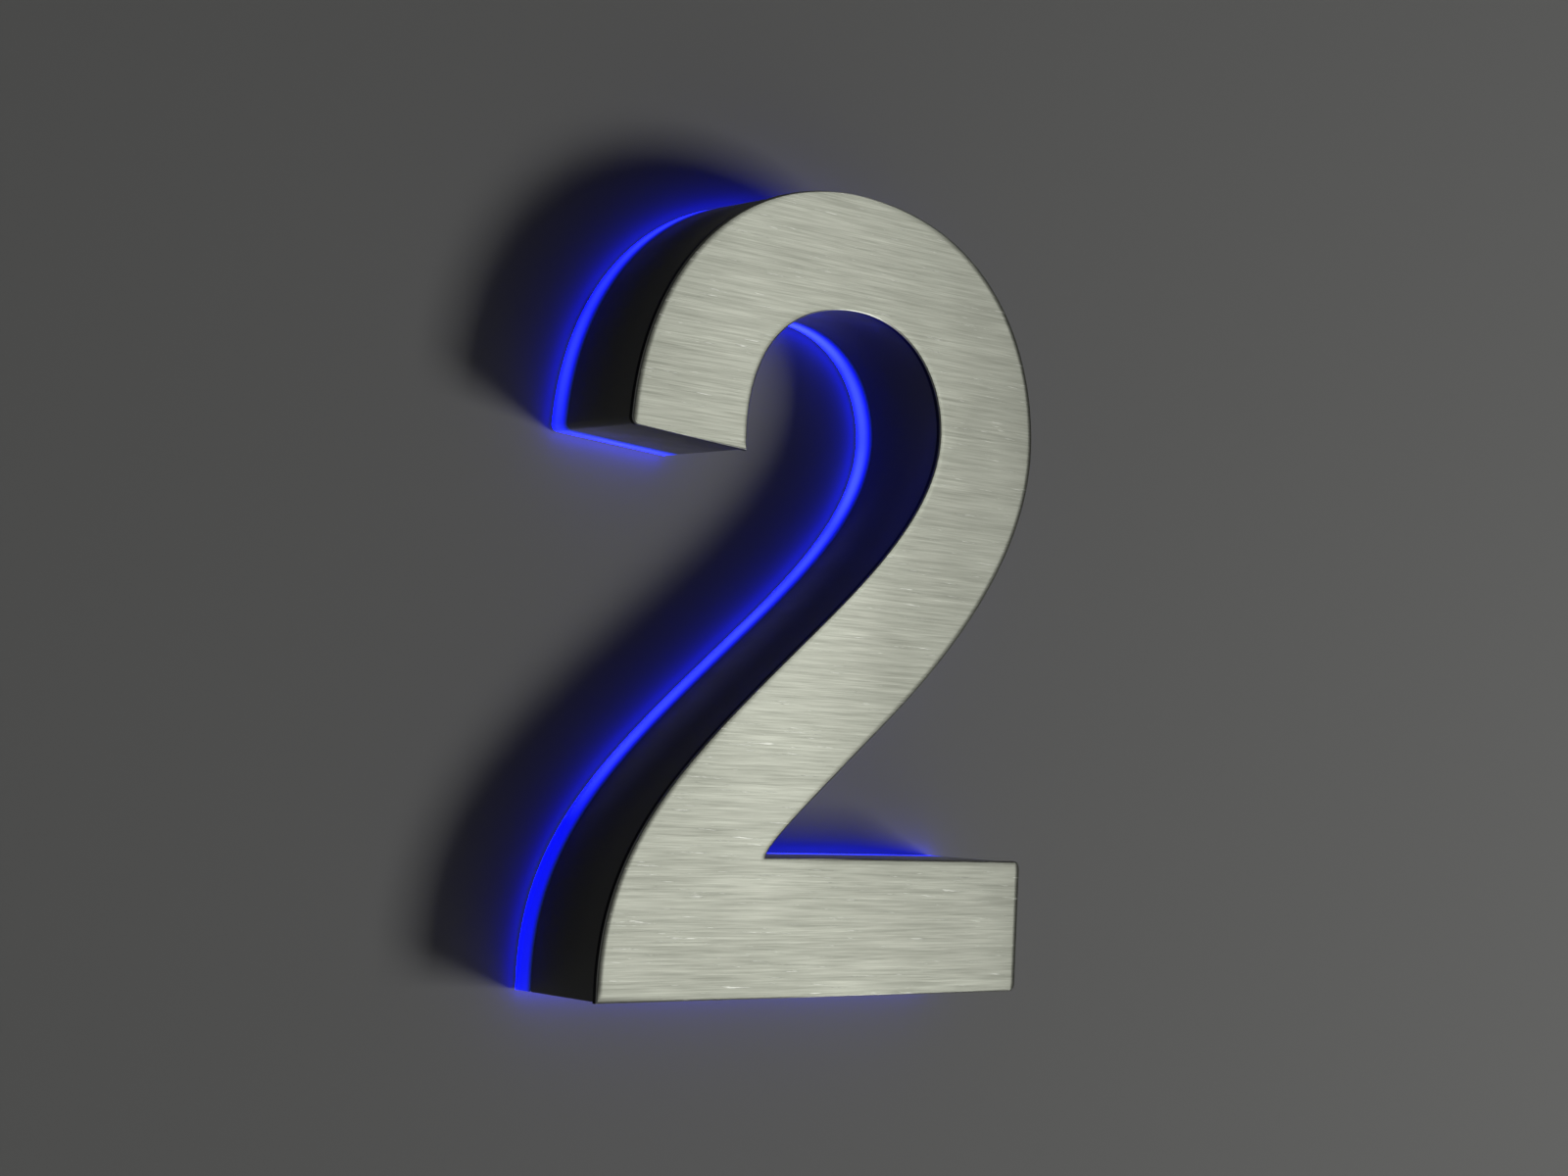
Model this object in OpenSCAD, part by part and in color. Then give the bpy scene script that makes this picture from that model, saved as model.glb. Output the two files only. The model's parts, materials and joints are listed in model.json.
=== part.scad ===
// Backlit numeral sign: a fabricated metal numeral 2 on a thick edge-lit acrylic back.
// X runs to the right, Y into the wall and Z up. The origin is the centre of the four
// wall studs on the wall's surface. The outline is drawn in the numeral's own plane,
// from the left end of its base.

/* [Numeral] */
// Height from the base to the crown
numeral_h = 200; // [190:1:225]
// Width of the foot
numeral_w = 138; // [130:1:155]
// Height of the foot
foot_h = 34; // [31:0.5:40]
// Distance of the bowl's widest point from the right end of the foot
bowl_in = 2; // [0:0.5:6]
// Depth of the bowl's widest point below the crown
bowl_drop = 57.5; // [54:0.5:62]
// Width of the stroke at the bowl
bowl_stroke = 34; // [31:0.5:36]
// Distance of the crown from the left edge
crown_x = 70.5; // [68:0.5:74]
// Thickness of the stroke at the crown
crown_stroke = 29.5; // [27:0.5:33]
// Distance of the counter's highest point from the left edge
counter_x = 71; // [68:0.5:74]
// Distance of the hook's outer corner from the left edge
hook_x = 2; // [0:0.5:6]
// Depth of the hook's outer corner below the crown
hook_drop = 65.5; // [58:0.5:70]
// Width of the hook's cut end
hook_w = 35.5; // [31:0.5:37]
// Fall of the hook's cut end towards its inner corner
hook_fall = 2.5; // [0:0.5:5]
// Distance of the diagonal's middle from the left edge
diagonal_x = 70; // [68:0.5:73]
// Height of the diagonal's middle above the base
diagonal_z = 75; // [72:0.5:78]
// Thickness of the diagonal stroke
diagonal_stroke = 32.8; // [30:0.2:35]
// Slope of the diagonal
diagonal_tilt = 40; // [38:0.5:42]
// Distance of the notch from the left edge
notch_x = 49.5; // [47:0.5:52]
// Straight height at the left end of the base
base_straight = 4; // [2:0.5:8]
// Radius of the bent corners
corner_r = 2; // [1.5:0.1:3]

/* [Depths] */
// Thickness of the face plate
face_t = 1.5; // [1:0.1:2.5]
// Depth of the return strips
return_h = 24.5; // [22:0.5:40]
// Thickness of the return strips
return_t = 0.8; // [0.6:0.1:1.2]
// Overhang of the face plate past the return strips
face_lip = 0.3; // [0.2:0.05:0.6]
// Gap between the return strips and the step of the back panel
seat_gap = 0.3; // [0.2:0.05:0.5]
// Thickness of the acrylic back panel
panel_t = 10; // [9:0.5:14]
// Visible rim of the back panel behind the strips
halo_rim = 6.2; // [5:0.1:7]
// Clearance between the panel's plug and the strips
plug_gap = 0.3; // [0.2:0.05:0.5]

/* [Wall studs] */
// Diameter of a stud's thread
stud_d = 4; // [3:0.5:5]
// Diameter of a stud's plain shank in the wall
shank_d = 5; // [4.5:0.5:6]
// Length of a stud
stud_len = 50; // [40:1:80]
// Length of a stud in front of the wall
stud_front = 15.5; // [15:0.5:20]
// Distance of the left studs from the left edge
stud_left = 20; // [19:0.5:22]
// Distance of the right studs from the right end of the foot
stud_right = 18; // [17:0.5:20]
// Depth of the upper studs below the crown
stud_drop = 33; // [31:0.5:35]
// Height of the lower studs above the base
stud_rise = 17; // [16.5:0.5:18]
// Width across the flats of a nut
nut_af = 7; // [7:0.5:8]
// Height of a nut
nut_h = 3.2; // [2.5:0.1:4]
// Diameter of a washer
washer_d = 9; // [8.5:0.1:10]
// Thickness of a washer
washer_t = 0.8; // [0.5:0.1:1]
// Depth of the nut recess in the rear of the panel
recess_h = 3.6; // [3.3:0.1:4.5]

/* [Set screws] */
// Diameter of a set screw
set_d = 4; // [3:0.5:4]
// Length of a set screw
set_len = 6; // [6:0.5:8]
// Width across the flats of a set screw's socket
set_socket = 2; // [1.5:0.1:2]
// Depth of a set screw's socket
set_socket_h = 2.2; // [1.5:0.1:2.5]
// Diameter of a screw boss
boss_d = 8; // [7:0.5:9]
// Height of a screw boss
boss_h = 5; // [4:0.5:6]
// Distance of the left base screw from the left edge
base_screw_left = 36; // [35:0.5:38]
// Distance of the right base screw from the right end of the foot
base_screw_right = 8.5; // [8:0.1:8.8]
// Distance of the screw axes in front of the panel
screw_stand = 5; // [4.8:0.1:6]
// Gap between a screw tip and its clamp block
tip_gap = 0.2; // [0.1:0.05:0.3]
// Set screw tip standing out of its boss
tip_out = 0.8; // [0.5:0.1:1]

/* [Clamp blocks] */
// Width of a clamp block
block_w = 10; // [8:0.5:11]
// Height of a clamp block
block_h = 6.5; // [6:0.5:7]
// Depth of a clamp block
block_d = 10; // [9:0.5:12]
// Diameter of a block's countersunk screw
block_screw_d = 3; // [2.5:0.5:3]
// Length of a block's countersunk screw
block_screw_len = 16; // [14:0.5:18]
// Head diameter of a block's countersunk screw
block_head_d = 5.5; // [5:0.1:6]
// Head height of a block's countersunk screw
block_head_h = 1.6; // [1.2:0.1:2]

/* [Light modules] */
// Length of a module
module_l = 22; // [20:0.5:24]
// Width of a module
module_w = 10; // [9:0.5:11]
// Height of a module's housing
module_h = 4.8; // [4.5:0.1:6]
// Corner radius of a module
module_r = 1.5; // [1:0.1:2.5]
// Wall of a module
module_wall = 1; // [0.8:0.1:1.2]
// Thickness of a module's floor
module_floor = 0.8; // [0.6:0.1:1]
// Thickness of the tape below a module
tape_t = 0.8; // [0.5:0.1:1]
// Thickness of a module's circuit board
board_t = 0.8; // [0.6:0.1:1]
// Width of a light chip
chip_w = 2.8; // [2:0.1:3.5]
// Height of a light chip
chip_h = 0.8; // [0.5:0.1:1.2]
// Spacing of a module's two light chips
chip_pitch = 11; // [9:0.5:12]
// Diameter of a lens
lens_d = 6; // [5:0.1:6.5]
// Height of a lens dome above the housing
lens_dome = 1.5; // [1:0.1:2.5]
// Length of a module's resistor
resistor_l = 2; // [1.6:0.1:2.4]
// Width of a module's resistor
resistor_w = 1.2; // [1:0.1:1.6]
// Height of a module's resistor
resistor_h = 0.5; // [0.4:0.1:0.8]
// Sideways shift of the modules beside the upper studs
module_shift = 3.5; // [3:0.5:5]
// Gap between the crown module and the clamp block
crown_module_gap = 3; // [2:0.1:3.5]
// Distance of the left foot module's middle from the left edge
foot_module_left = 54; // [53.5:0.5:55]
// Height of the foot modules' middle above the base
foot_module_rise = 18.5; // [18:0.5:20]

/* [Wiring] */
// Diameter of a wire
wire_d = 1.6; // [1.2:0.1:1.8]
// Spacing of the two wires at a module
wire_pitch = 5; // [4:0.5:6]
// Height of the wires above the panel
wire_rise = 3.2; // [3:0.1:3.6]
// Distance of the cable inlet from the left edge
inlet_x = 77; // [76.5:0.5:79]
// Height of the cable inlet above the base
inlet_z = 9.5; // [9:0.5:11]
// Diameter of the inlet hole in the panel
inlet_d = 9; // [8:0.5:10]
// Bore of the grommet
grommet_bore = 5; // [4:0.5:6]
// Diameter of the grommet's flange
grommet_flange_d = 12; // [11:0.5:13]
// Thickness of the grommet's flange
grommet_flange_t = 1.5; // [1:0.1:2]
// Clearance round the grommet and the studs
fit_gap = 0.05; // [0.03:0.01:0.1]
// Width of the terminal block
terminal_w = 10; // [10:0.5:11]
// Depth of the terminal block along its wires
terminal_l = 8; // [7:0.5:9]
// Height of the terminal block
terminal_h = 9; // [8.5:0.5:11]
// Rise of the terminal block's middle above the foot modules'
terminal_lift = 3.5; // [3:0.5:5]
// Depth that a wire goes into the terminal block
terminal_entry = 1; // [0.5:0.1:1.5]
// Width of a terminal cage
cage_w = 3.6; // [3.2:0.1:3.8]
// Height of a terminal cage
cage_h = 4.4; // [4:0.1:5]
// Diameter of a terminal screw
terminal_screw_d = 2.5; // [2:0.1:2.6]

/* [Hidden] */

// Number of straight steps along each curve of the outline
curve_steps = 14;
// Number of steps round a bent corner
corner_steps = 4;
// Number of sides and of steps of a wire
wire_sides = 8;
wire_steps = 7;
// Share of a wire's span that leaves its stop straight, and the small step that a slope is read over
wire_pull = 0.4;
nudge = 0.01;
$fn = 48;

// Lean of the edges at the hook, at the notch and down the diagonal, in degrees
hook_lean = 88.5;
hook_inner_lean = 94.5;
notch_fall = -100;
diagonal_fall = diagonal_tilt - 180;
down = -90;

// Small sizes: overrun of a cut, plays round screws and wires, seats and slots
cut = 1;
recess_play = 0.5;
screw_play = 0.2;
wire_play = 0.2;
driver_play = 0.3;
hole_end_gap = 0.5;
set_point = 0.6;
block_socket_h = 1;
tape_margin = 0.5;
board_play = 0.2;
lens_seat = 1;
angle_t = 1;
angle_gap = 2;
angle_reach = 3;
cage_inset = 0.2;
terminal_screw_grip = 1.2;
terminal_screw_out = 2;
terminal_slot_w = 0.4;
terminal_slot_h = 0.8;

// Depths of the layers, from the wall forwards
step_y = -halo_rim;
panel_y = -panel_t;
strip_rear_y = step_y - seat_gap;
strip_front_y = strip_rear_y - return_h;
axis_y = panel_y - screw_stand;
inner_inset = face_lip + return_t;
plug_inset = inner_inset + plug_gap;

// Places of the studs in the numeral's plane, and the origin between them
stud_low_z = stud_rise;
stud_high_z = numeral_h - stud_drop;
stud_right_x = numeral_w - stud_right;
origin_x = (stud_left + stud_right_x) / 2;
origin_z = (stud_low_z + stud_high_z) / 2;
STUDS = [for (x = [stud_left, stud_right_x], z = [stud_low_z, stud_high_z]) [x, z]];

// Anchors of the outline
hook_outer = [hook_x, numeral_h - hook_drop];
hook_inner = hook_outer + [hook_w, -hook_fall];
crown = [crown_x, numeral_h];
counter = [counter_x, numeral_h - crown_stroke];
bowl = [numeral_w - bowl_in, numeral_h - bowl_drop];
bowl_inner = bowl - [bowl_stroke, 0];
notch = [notch_x, foot_h];
base_left = [0, 0];
base_top = [0, base_straight];
diagonal_side = diagonal_stroke / 2 * [sin(diagonal_tilt), -cos(diagonal_tilt)];
diagonal_right = [diagonal_x, diagonal_z] + diagonal_side;
diagonal_left = [diagonal_x, diagonal_z] - diagonal_side;

function ray(a) = [cos(a), sin(a)];
function right_of(v) = [v.y, -v.x];
function unit(v) = v / norm(v);

// A curve between two anchors: the lean at each end, and each handle as a share of the chord
function curve(p, lean_p, share_p, q, lean_q, share_q) =
    let (chord = norm(q - p))
    [p, p + ray(lean_p) * share_p * chord, q - ray(lean_q) * share_q * chord, q];
function bezier(c, t) =
    pow(1 - t, 3) * c[0] + 3 * pow(1 - t, 2) * t * c[1] + 3 * (1 - t) * t * t * c[2] + pow(t, 3) * c[3];
function run(c) = [for (i = [0:curve_steps - 1]) bezier(c, i / curve_steps)];
function reverse(list) = [for (i = [len(list) - 1:-1:0]) list[i]];

// The round of a bent corner at p, turning right from direction a to direction b, in degrees
function bend(p, a, b) =
    let (
        turn = a - b,
        centre = p - ray(a) * corner_r * tan(turn / 2) + right_of(ray(a)) * corner_r
    )
    [for (i = [0:corner_steps]) centre - right_of(ray(a - turn * i / corner_steps)) * corner_r];

// The outer edge from the hook to the notch, and the inner edge from the hook to the base
hook_rise = atan2(hook_fall, -hook_w);
hook_bend = bend(hook_outer, hook_rise, hook_lean);
OUTER = [
    curve(hook_outer, hook_lean, 0.39, crown, 0, 0.43),
    curve(crown, 0, 0.55, bowl, down, 0.3),
    curve(bowl, down, 0.38, diagonal_right, diagonal_fall, 0.14),
    curve(diagonal_right, diagonal_fall, 0.6, notch, notch_fall, 0.08)
];
INNER = [
    curve(hook_inner, hook_inner_lean, 0.59, counter, 0, 0.32),
    curve(counter, 0, 0.48, bowl_inner, down, 0.34),
    curve(bowl_inner, down, 0.28, diagonal_left, diagonal_fall, 0.35),
    curve(diagonal_left, diagonal_fall, 0.47, base_top, down, 0.33)
];

// The rim of the numeral, clockwise from the hook's inner corner
outer_first = run(OUTER[0]);
hook_run = concat([hook_inner], hook_bend, [for (i = [1:curve_steps - 1]) outer_first[i]]);
right_run = concat(run(OUTER[1]), run(OUTER[2]), run(OUTER[3]));
foot_run = concat([notch], bend([numeral_w, foot_h], 0, -90), bend([numeral_w, 0], -90, -180));
left_run = concat(
    [base_left, base_top],
    [for (k = [3:-1:0], i = [curve_steps - 1:-1:(k == 0 ? 1 : 0)]) bezier(INNER[k], i / curve_steps)]
);
RIM = concat(hook_run, right_run, foot_run, left_run);
rim_count = len(RIM);
notch_at = len(hook_run) + len(right_run);
base_at = notch_at + len(foot_run);

// The rim moved inwards by d, each corner kept on the bisector of its two edges
function side(i) = right_of(unit(RIM[(i + 1) % rim_count] - RIM[i % rim_count]));
function inset_point(i, d) =
    let (a = side(i + rim_count - 1), b = side(i))
    RIM[i % rim_count] + d * (a + b) / (1 + a * b);
function inset(d, first = 0, last = rim_count - 1) = [for (i = [first:last]) inset_point(i, d)];

// The middle of the stroke, k being the curve and t the place along it
function middle(k, t) = (bezier(OUTER[k], t) + bezier(INNER[k], t)) / 2;
function heading(k, t) = unit(middle(k, t + nudge) - middle(k, t - nudge));
function stroke_place(k, t, shift = 0) =
    let (h = heading(k, t))
    [middle(k, t) + right_of(h) * shift, h];

// Places of the set screws: a point on the strip's inner face and the outward direction
crown_screw = [[crown_x, numeral_h - inner_inset], 1];
left_screw = [[base_screw_left, inner_inset], -1];
right_screw = [[numeral_w - base_screw_right, inner_inset], -1];
SET_SCREWS = [crown_screw, left_screw, right_screw];
tip_depth = boss_h + tip_out;
block_depth = tip_depth + tip_gap;

// Middle and heading of each light module, from the hook to the foot. The crown module lies
// below its clamp block, and the right foot module midway from the terminal block to the stud.
crown_module_z = numeral_h - inner_inset - block_depth - block_h - crown_module_gap - module_w / 2;
foot_module_right = (inlet_x + terminal_l / 2 + stud_right_x - washer_d / 2) / 2;
MODULES = [
    stroke_place(0, 0.17, module_shift),
    stroke_place(0, 0.55, module_shift),
    [[crown_x, crown_module_z], [1, 0]],
    stroke_place(1, 0.38, module_shift),
    stroke_place(2, 0.04, module_shift),
    stroke_place(2, 0.37),
    stroke_place(2, 0.7),
    stroke_place(3, 0.07),
    stroke_place(3, 0.43),
    [[foot_module_left, foot_module_rise], [1, 0]],
    [[foot_module_right, foot_module_rise], [1, 0]]
];

// Stops of the wiring: middle, heading, length between wire ends, and wire spacing
terminal_mid = [inlet_x, foot_module_rise + terminal_lift];
module_stops = [for (m = MODULES) [m[0], m[1], module_l, wire_pitch]];
last_stop = len(MODULES) - 1;
STOPS = concat(
    [for (i = [0:last_stop - 1]) module_stops[i]],
    [[terminal_mid, [1, 0], terminal_l - 2 * terminal_entry, terminal_w / 2]],
    [module_stops[last_stop]]
);

// Layers and placing

// A flat layer of the outline's plane, from rear_y forwards by t
module layer(rear_y, t) {
    translate([-origin_x, rear_y, -origin_z])
        rotate([90, 0, 0])
            linear_extrude(t)
                children();
}

// A thing drawn along +Z, standing forwards from a place of the outline's plane
module stand(p, y = 0, turn = 0) {
    translate([p.x - origin_x, y, p.y - origin_z])
        rotate([90, 0, 0])
            rotate([0, 0, turn])
                children();
}

module strip(first, last) {
    layer(strip_rear_y, return_h)
        polygon(concat(inset(face_lip, first, last), reverse(inset(inner_inset, first, last))));
}

// Shell

module face_plate() {
    color("#979d90")
        layer(strip_front_y, face_t)
            polygon(RIM);
}

// A tapped hole through a strip at a set screw
module screw_hole(s) {
    translate([s[0].x - origin_x, axis_y, s[0].y - origin_z - 2 * boss_h])
        cylinder(d = set_d + 2 * fit_gap, h = 4 * boss_h);
}

module outer_return() {
    color("#14161c")
        difference() {
            strip(0, notch_at);
            screw_hole(crown_screw);
        }
}

module foot_return() {
    color("#14161c")
        difference() {
            strip(notch_at, base_at);
            screw_hole(left_screw);
            screw_hole(right_screw);
        }
}

module inner_return() {
    color("#14161c")
        strip(base_at, rim_count);
}

angle_h = return_h - (panel_t - halo_rim) - angle_gap;

// A backing strip soldered inside a sharp corner, one edge of the rim long on each side
module corner_angle(i) {
    before = inset_point(i + rim_count - 1, inner_inset);
    corner = inset_point(i, inner_inset);
    after = inset_point(i + 1, inner_inset);
    reach = min(norm(before - corner), norm(after - corner), angle_reach);
    a = unit(before - corner);
    b = unit(after - corner);
    inner_corner = inset_point(i, inner_inset + angle_t);
    layer(strip_front_y + angle_h, angle_h)
        polygon([
            corner + a * reach, corner, corner + b * reach,
            corner + b * reach + right_of(b) * angle_t,
            inner_corner,
            corner + a * reach - right_of(a) * angle_t
        ]);
}

module corner_angles() {
    color("#8a8d90")
        for (i = [0, notch_at, base_at])
            corner_angle(i);
}

// A threaded boss welded inside a strip
module screw_boss(s) {
    difference() {
        intersection() {
            translate([s[0].x - origin_x, axis_y, s[0].y - origin_z - s[1] * boss_h])
                mirror([0, 0, s[1] > 0 ? 0 : 1])
                    cylinder(d = boss_d, h = 2 * boss_h);
            layer(strip_rear_y, return_h)
                polygon(inset(inner_inset));
        }
        screw_hole(s);
    }
}

module screw_bosses() {
    color("#6f7276")
        for (s = SET_SCREWS)
            screw_boss(s);
}

// A socket set screw whose tip faces the inside of the numeral
module set_screw(s) {
    translate([s[0].x - origin_x, axis_y, s[0].y - origin_z - s[1] * tip_depth])
        mirror([0, 0, s[1] > 0 ? 0 : 1])
            difference() {
                union() {
                    cylinder(d1 = set_d - 2 * set_point, d2 = set_d, h = set_point);
                    translate([0, 0, set_point])
                        cylinder(d = set_d, h = set_len - set_point);
                }
                translate([0, 0, set_len - set_socket_h])
                    cylinder(d = set_socket / cos(30), h = set_socket_h + cut, $fn = 6);
            }
}

module crown_set_screw() {
    color("#b9bcc0")
        set_screw(crown_screw);
}

module left_set_screw() {
    color("#b9bcc0")
        set_screw(left_screw);
}

module right_set_screw() {
    color("#b9bcc0")
        set_screw(right_screw);
}

// Back

// Middle of a clamp block in the outline's plane
function block_place(s) = s[0] - [0, s[1] * (block_depth + block_h / 2)];

module back_panel() {
    color([0.25, 0.45, 1, 0.9])
        difference() {
            union() {
                layer(0, halo_rim)
                    polygon(inset(face_lip));
                layer(step_y, panel_t - halo_rim)
                    polygon(inset(plug_inset));
            }
            for (p = STUDS) {
                stand(p, cut)
                    cylinder(d = stud_d + 2 * fit_gap, h = panel_t + 2 * cut);
                stand(p, cut)
                    cylinder(d = nut_af / cos(30) + 2 * recess_play, h = recess_h + cut);
            }
            for (s = SET_SCREWS) {
                stand(block_place(s), cut)
                    cylinder(d = block_screw_d + 2 * screw_play, h = panel_t + 2 * cut);
                stand(block_place(s))
                    cylinder(
                        d1 = block_head_d + 2 * screw_play,
                        d2 = block_screw_d + 2 * screw_play,
                        h = block_head_h
                    );
            }
            stand([inlet_x, inlet_z], cut)
                cylinder(d = inlet_d, h = panel_t + 2 * cut);
        }
}

block_hole_h = block_screw_len - panel_t + hole_end_gap;

module clamp_blocks() {
    color("#b4b7ba")
        for (s = SET_SCREWS)
            stand(block_place(s), panel_y)
                difference() {
                    translate([-block_w / 2, -block_h / 2, 0])
                        cube([block_w, block_h, block_d]);
                    translate([0, 0, -cut])
                        cylinder(d = block_screw_d + 2 * fit_gap, h = block_hole_h + cut);
                }
}

module clamp_block_screws() {
    color("#c3c6c9")
        for (s = SET_SCREWS)
            stand(block_place(s))
                difference() {
                    union() {
                        cylinder(d1 = block_head_d, d2 = block_screw_d, h = block_head_h);
                        cylinder(d = block_screw_d, h = block_screw_len);
                    }
                    translate([0, 0, -cut])
                        cylinder(d = block_screw_d / 2, h = block_socket_h + cut, $fn = 6);
                }
}

// A stud: its shank stands in the wall and its thread goes through the panel
module wall_studs() {
    color("#aeb2b6")
        for (p = STUDS) {
            stand(p, stud_len - stud_front)
                cylinder(d = shank_d, h = stud_len - stud_front);
            stand(p)
                cylinder(d = stud_d, h = stud_front);
        }
}

module stud_washers() {
    color("#c9ccce")
        for (p = STUDS)
            stand(p, panel_y)
                difference() {
                    cylinder(d = washer_d, h = washer_t);
                    translate([0, 0, -cut])
                        cylinder(d = stud_d + 2 * fit_gap, h = washer_t + 2 * cut);
                }
}

module hex_nut() {
    difference() {
        cylinder(d = nut_af / cos(30), h = nut_h, $fn = 6);
        translate([0, 0, -cut])
            cylinder(d = stud_d + 2 * fit_gap, h = nut_h + 2 * cut);
    }
}

module front_nuts() {
    color("#b9bcc0")
        for (p = STUDS)
            stand(p, panel_y - washer_t)
                hex_nut();
}

module rear_nuts() {
    color("#b9bcc0")
        for (p = STUDS)
            stand(p, nut_h - recess_h)
                hex_nut();
}

// Light modules

// Places a thing drawn with X along the module and Z away from the panel
module on_modules(rise = 0) {
    for (m = MODULES)
        stand(m[0], panel_y - rise, atan2(m[1].y, m[1].x))
            children();
}

// A bar with round corners, built of a cross and four cylinders
module round_bar(l, w, h, r) {
    translate([-l / 2 + r, -w / 2, 0])
        cube([l - 2 * r, w, h]);
    translate([-l / 2, -w / 2 + r, 0])
        cube([l, w - 2 * r, h]);
    for (x = [-1, 1], y = [-1, 1])
        translate([x * (l / 2 - r), y * (w / 2 - r), 0])
            cylinder(r = r, h = h);
}

module at_chips() {
    for (x = [-1, 1])
        translate([x * chip_pitch / 2, 0, 0])
            children();
}

board_rise = tape_t + module_floor;
board_l = module_l - 2 * (module_wall + board_play);
board_w = module_w - 2 * (module_wall + board_play);
lens_skirt = module_h - module_wall;
dome_r = (pow(lens_d / 2, 2) + pow(lens_dome, 2)) / (2 * lens_dome);

module module_tapes() {
    color("#d8d8d4")
        on_modules()
            round_bar(module_l - 2 * tape_margin, module_w - 2 * tape_margin, tape_t, module_r);
}

module module_housings() {
    color("#e9ebee")
        on_modules(tape_t)
            difference() {
                round_bar(module_l, module_w, module_h, module_r);
                translate([-module_l / 2 + module_wall, -module_w / 2 + module_wall, module_floor])
                    cube([module_l - 2 * module_wall, module_w - 2 * module_wall, lens_skirt - module_floor]);
                at_chips()
                    cylinder(d = lens_d, h = module_h + cut);
            }
}

module module_boards() {
    color("#e8efe6")
        on_modules(board_rise)
            translate([-board_l / 2, -board_w / 2, 0])
                cube([board_l, board_w, board_t]);
}

module light_chips() {
    color("#cfe0ff")
        on_modules(board_rise + board_t)
            at_chips()
                translate([-chip_w / 2, -chip_w / 2, 0])
                    cube([chip_w, chip_w, chip_h]);
}

module module_resistors() {
    color("#26282b")
        on_modules(board_rise + board_t)
            translate([-resistor_l / 2, -resistor_w / 2, 0])
                cube([resistor_l, resistor_w, resistor_h]);
}

// A lens: a round plug in the housing's hole with a shallow dome
module lens() {
    translate([0, 0, lens_skirt])
        cylinder(d = lens_d - 2 * fit_gap, h = lens_seat);
    translate([0, 0, lens_skirt + lens_seat])
        intersection() {
            translate([0, 0, lens_dome - dome_r])
                sphere(r = dome_r);
            cylinder(d = lens_d - 2 * fit_gap, h = lens_dome);
        }
}

module module_lenses() {
    color([0.8, 0.88, 1, 0.6])
        on_modules(tape_t)
            at_chips()
                lens();
}

// Wires

// A ring round point p of the panel's plane, square to heading h
function ring_at(p, h) =
    [for (j = [0:wire_sides - 1])
        let (a = 360 * j / wire_sides, q = p + right_of(h) * cos(a) * wire_d / 2)
        [q.x - origin_x, panel_y - wire_rise + sin(a) * wire_d / 2, q.y - origin_z]];
function tangent(c, t) = unit(bezier(c, min(t + nudge, 1)) - bezier(c, max(t - nudge, 0)));

// One wire along a curve that lies over the panel
module wire(c) {
    rings = [for (i = [0:wire_steps])
        let (
            at_end = i == wire_steps ? unit(c[3] - c[2]) : tangent(c, i / wire_steps),
            h = i == 0 ? unit(c[1] - c[0]) : at_end
        )
        ring_at(bezier(c, i / wire_steps), h)];
    quads = [for (i = [0:wire_steps - 1], j = [0:wire_sides - 1])
        let (n = (j + 1) % wire_sides, a = i * wire_sides, b = a + wire_sides)
        each [[a + j, b + j, b + n], [a + j, b + n, a + n]]];
    caps = [
        [for (j = [0:wire_sides - 1]) j],
        [for (j = [wire_sides - 1:-1:0]) wire_steps * wire_sides + j]
    ];
    polyhedron(points = [for (r = rings) each r], faces = concat(quads, caps));
}

// The end of a stop's wire: way is 1 at its far end and -1 at its near end
function wire_end(stop, way, hand) =
    stop[0] + stop[1] * way * stop[2] / 2 + right_of(stop[1]) * hand * stop[3] / 2;

// The wire between stops k and k + 1, on one hand of their middle
function link(k, hand) =
    let (
        a = STOPS[k],
        b = STOPS[k + 1],
        p = wire_end(a, 1, hand),
        q = wire_end(b, -1, hand),
        reach = norm(q - p) * wire_pull
    )
    [p, p + a[1] * reach, q - b[1] * reach, q];

module wires(hand) {
    for (k = [0:len(STOPS) - 2])
        wire(link(k, hand));
}

module positive_wires() {
    color("#b3282d")
        wires(1);
}

module negative_wires() {
    color("#1c1d20")
        wires(-1);
}

// Supply side

cage_floor = wire_rise - cage_h / 2;
terminal_screw_top = cage_floor + cage_h + terminal_screw_out;

// A thing drawn at each pole of the terminal block, X along its wires
module at_poles() {
    stand(terminal_mid, panel_y)
        for (side = [-1, 1])
            translate([0, side * terminal_w / 4, 0])
                children();
}

module terminal_body() {
    color("#e4e4de")
        difference() {
            stand(terminal_mid, panel_y)
                translate([-terminal_l / 2, -terminal_w / 2, 0])
                    cube([terminal_l, terminal_w, terminal_h]);
            at_poles() {
                translate([-terminal_l / 2 - cut, -cage_w / 2, cage_floor])
                    cube([terminal_l + 2 * cut, cage_w, cage_h]);
                translate([0, 0, cage_floor])
                    cylinder(d = terminal_screw_d + 2 * driver_play, h = terminal_h);
            }
        }
}

module terminal_cages() {
    color("#c9a24d")
        at_poles()
            difference() {
                translate([-terminal_l / 2 + cage_inset, -cage_w / 2, cage_floor])
                    cube([terminal_l - 2 * cage_inset, cage_w, cage_h]);
                translate([-terminal_l, 0, wire_rise])
                    rotate([0, 90, 0])
                        cylinder(d = wire_d + 2 * wire_play, h = 2 * terminal_l);
                translate([0, 0, wire_rise])
                    cylinder(d = terminal_screw_d + 2 * fit_gap, h = cage_h);
            }
}

module terminal_screws() {
    color("#b9bcc0")
        at_poles()
            difference() {
                translate([0, 0, cage_floor + cage_h - terminal_screw_grip])
                    cylinder(d = terminal_screw_d, h = terminal_screw_grip + terminal_screw_out);
                translate([-terminal_screw_d, -terminal_slot_w / 2, terminal_screw_top - terminal_slot_h])
                    cube([2 * terminal_screw_d, terminal_slot_w, terminal_slot_h + cut]);
            }
}

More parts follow.
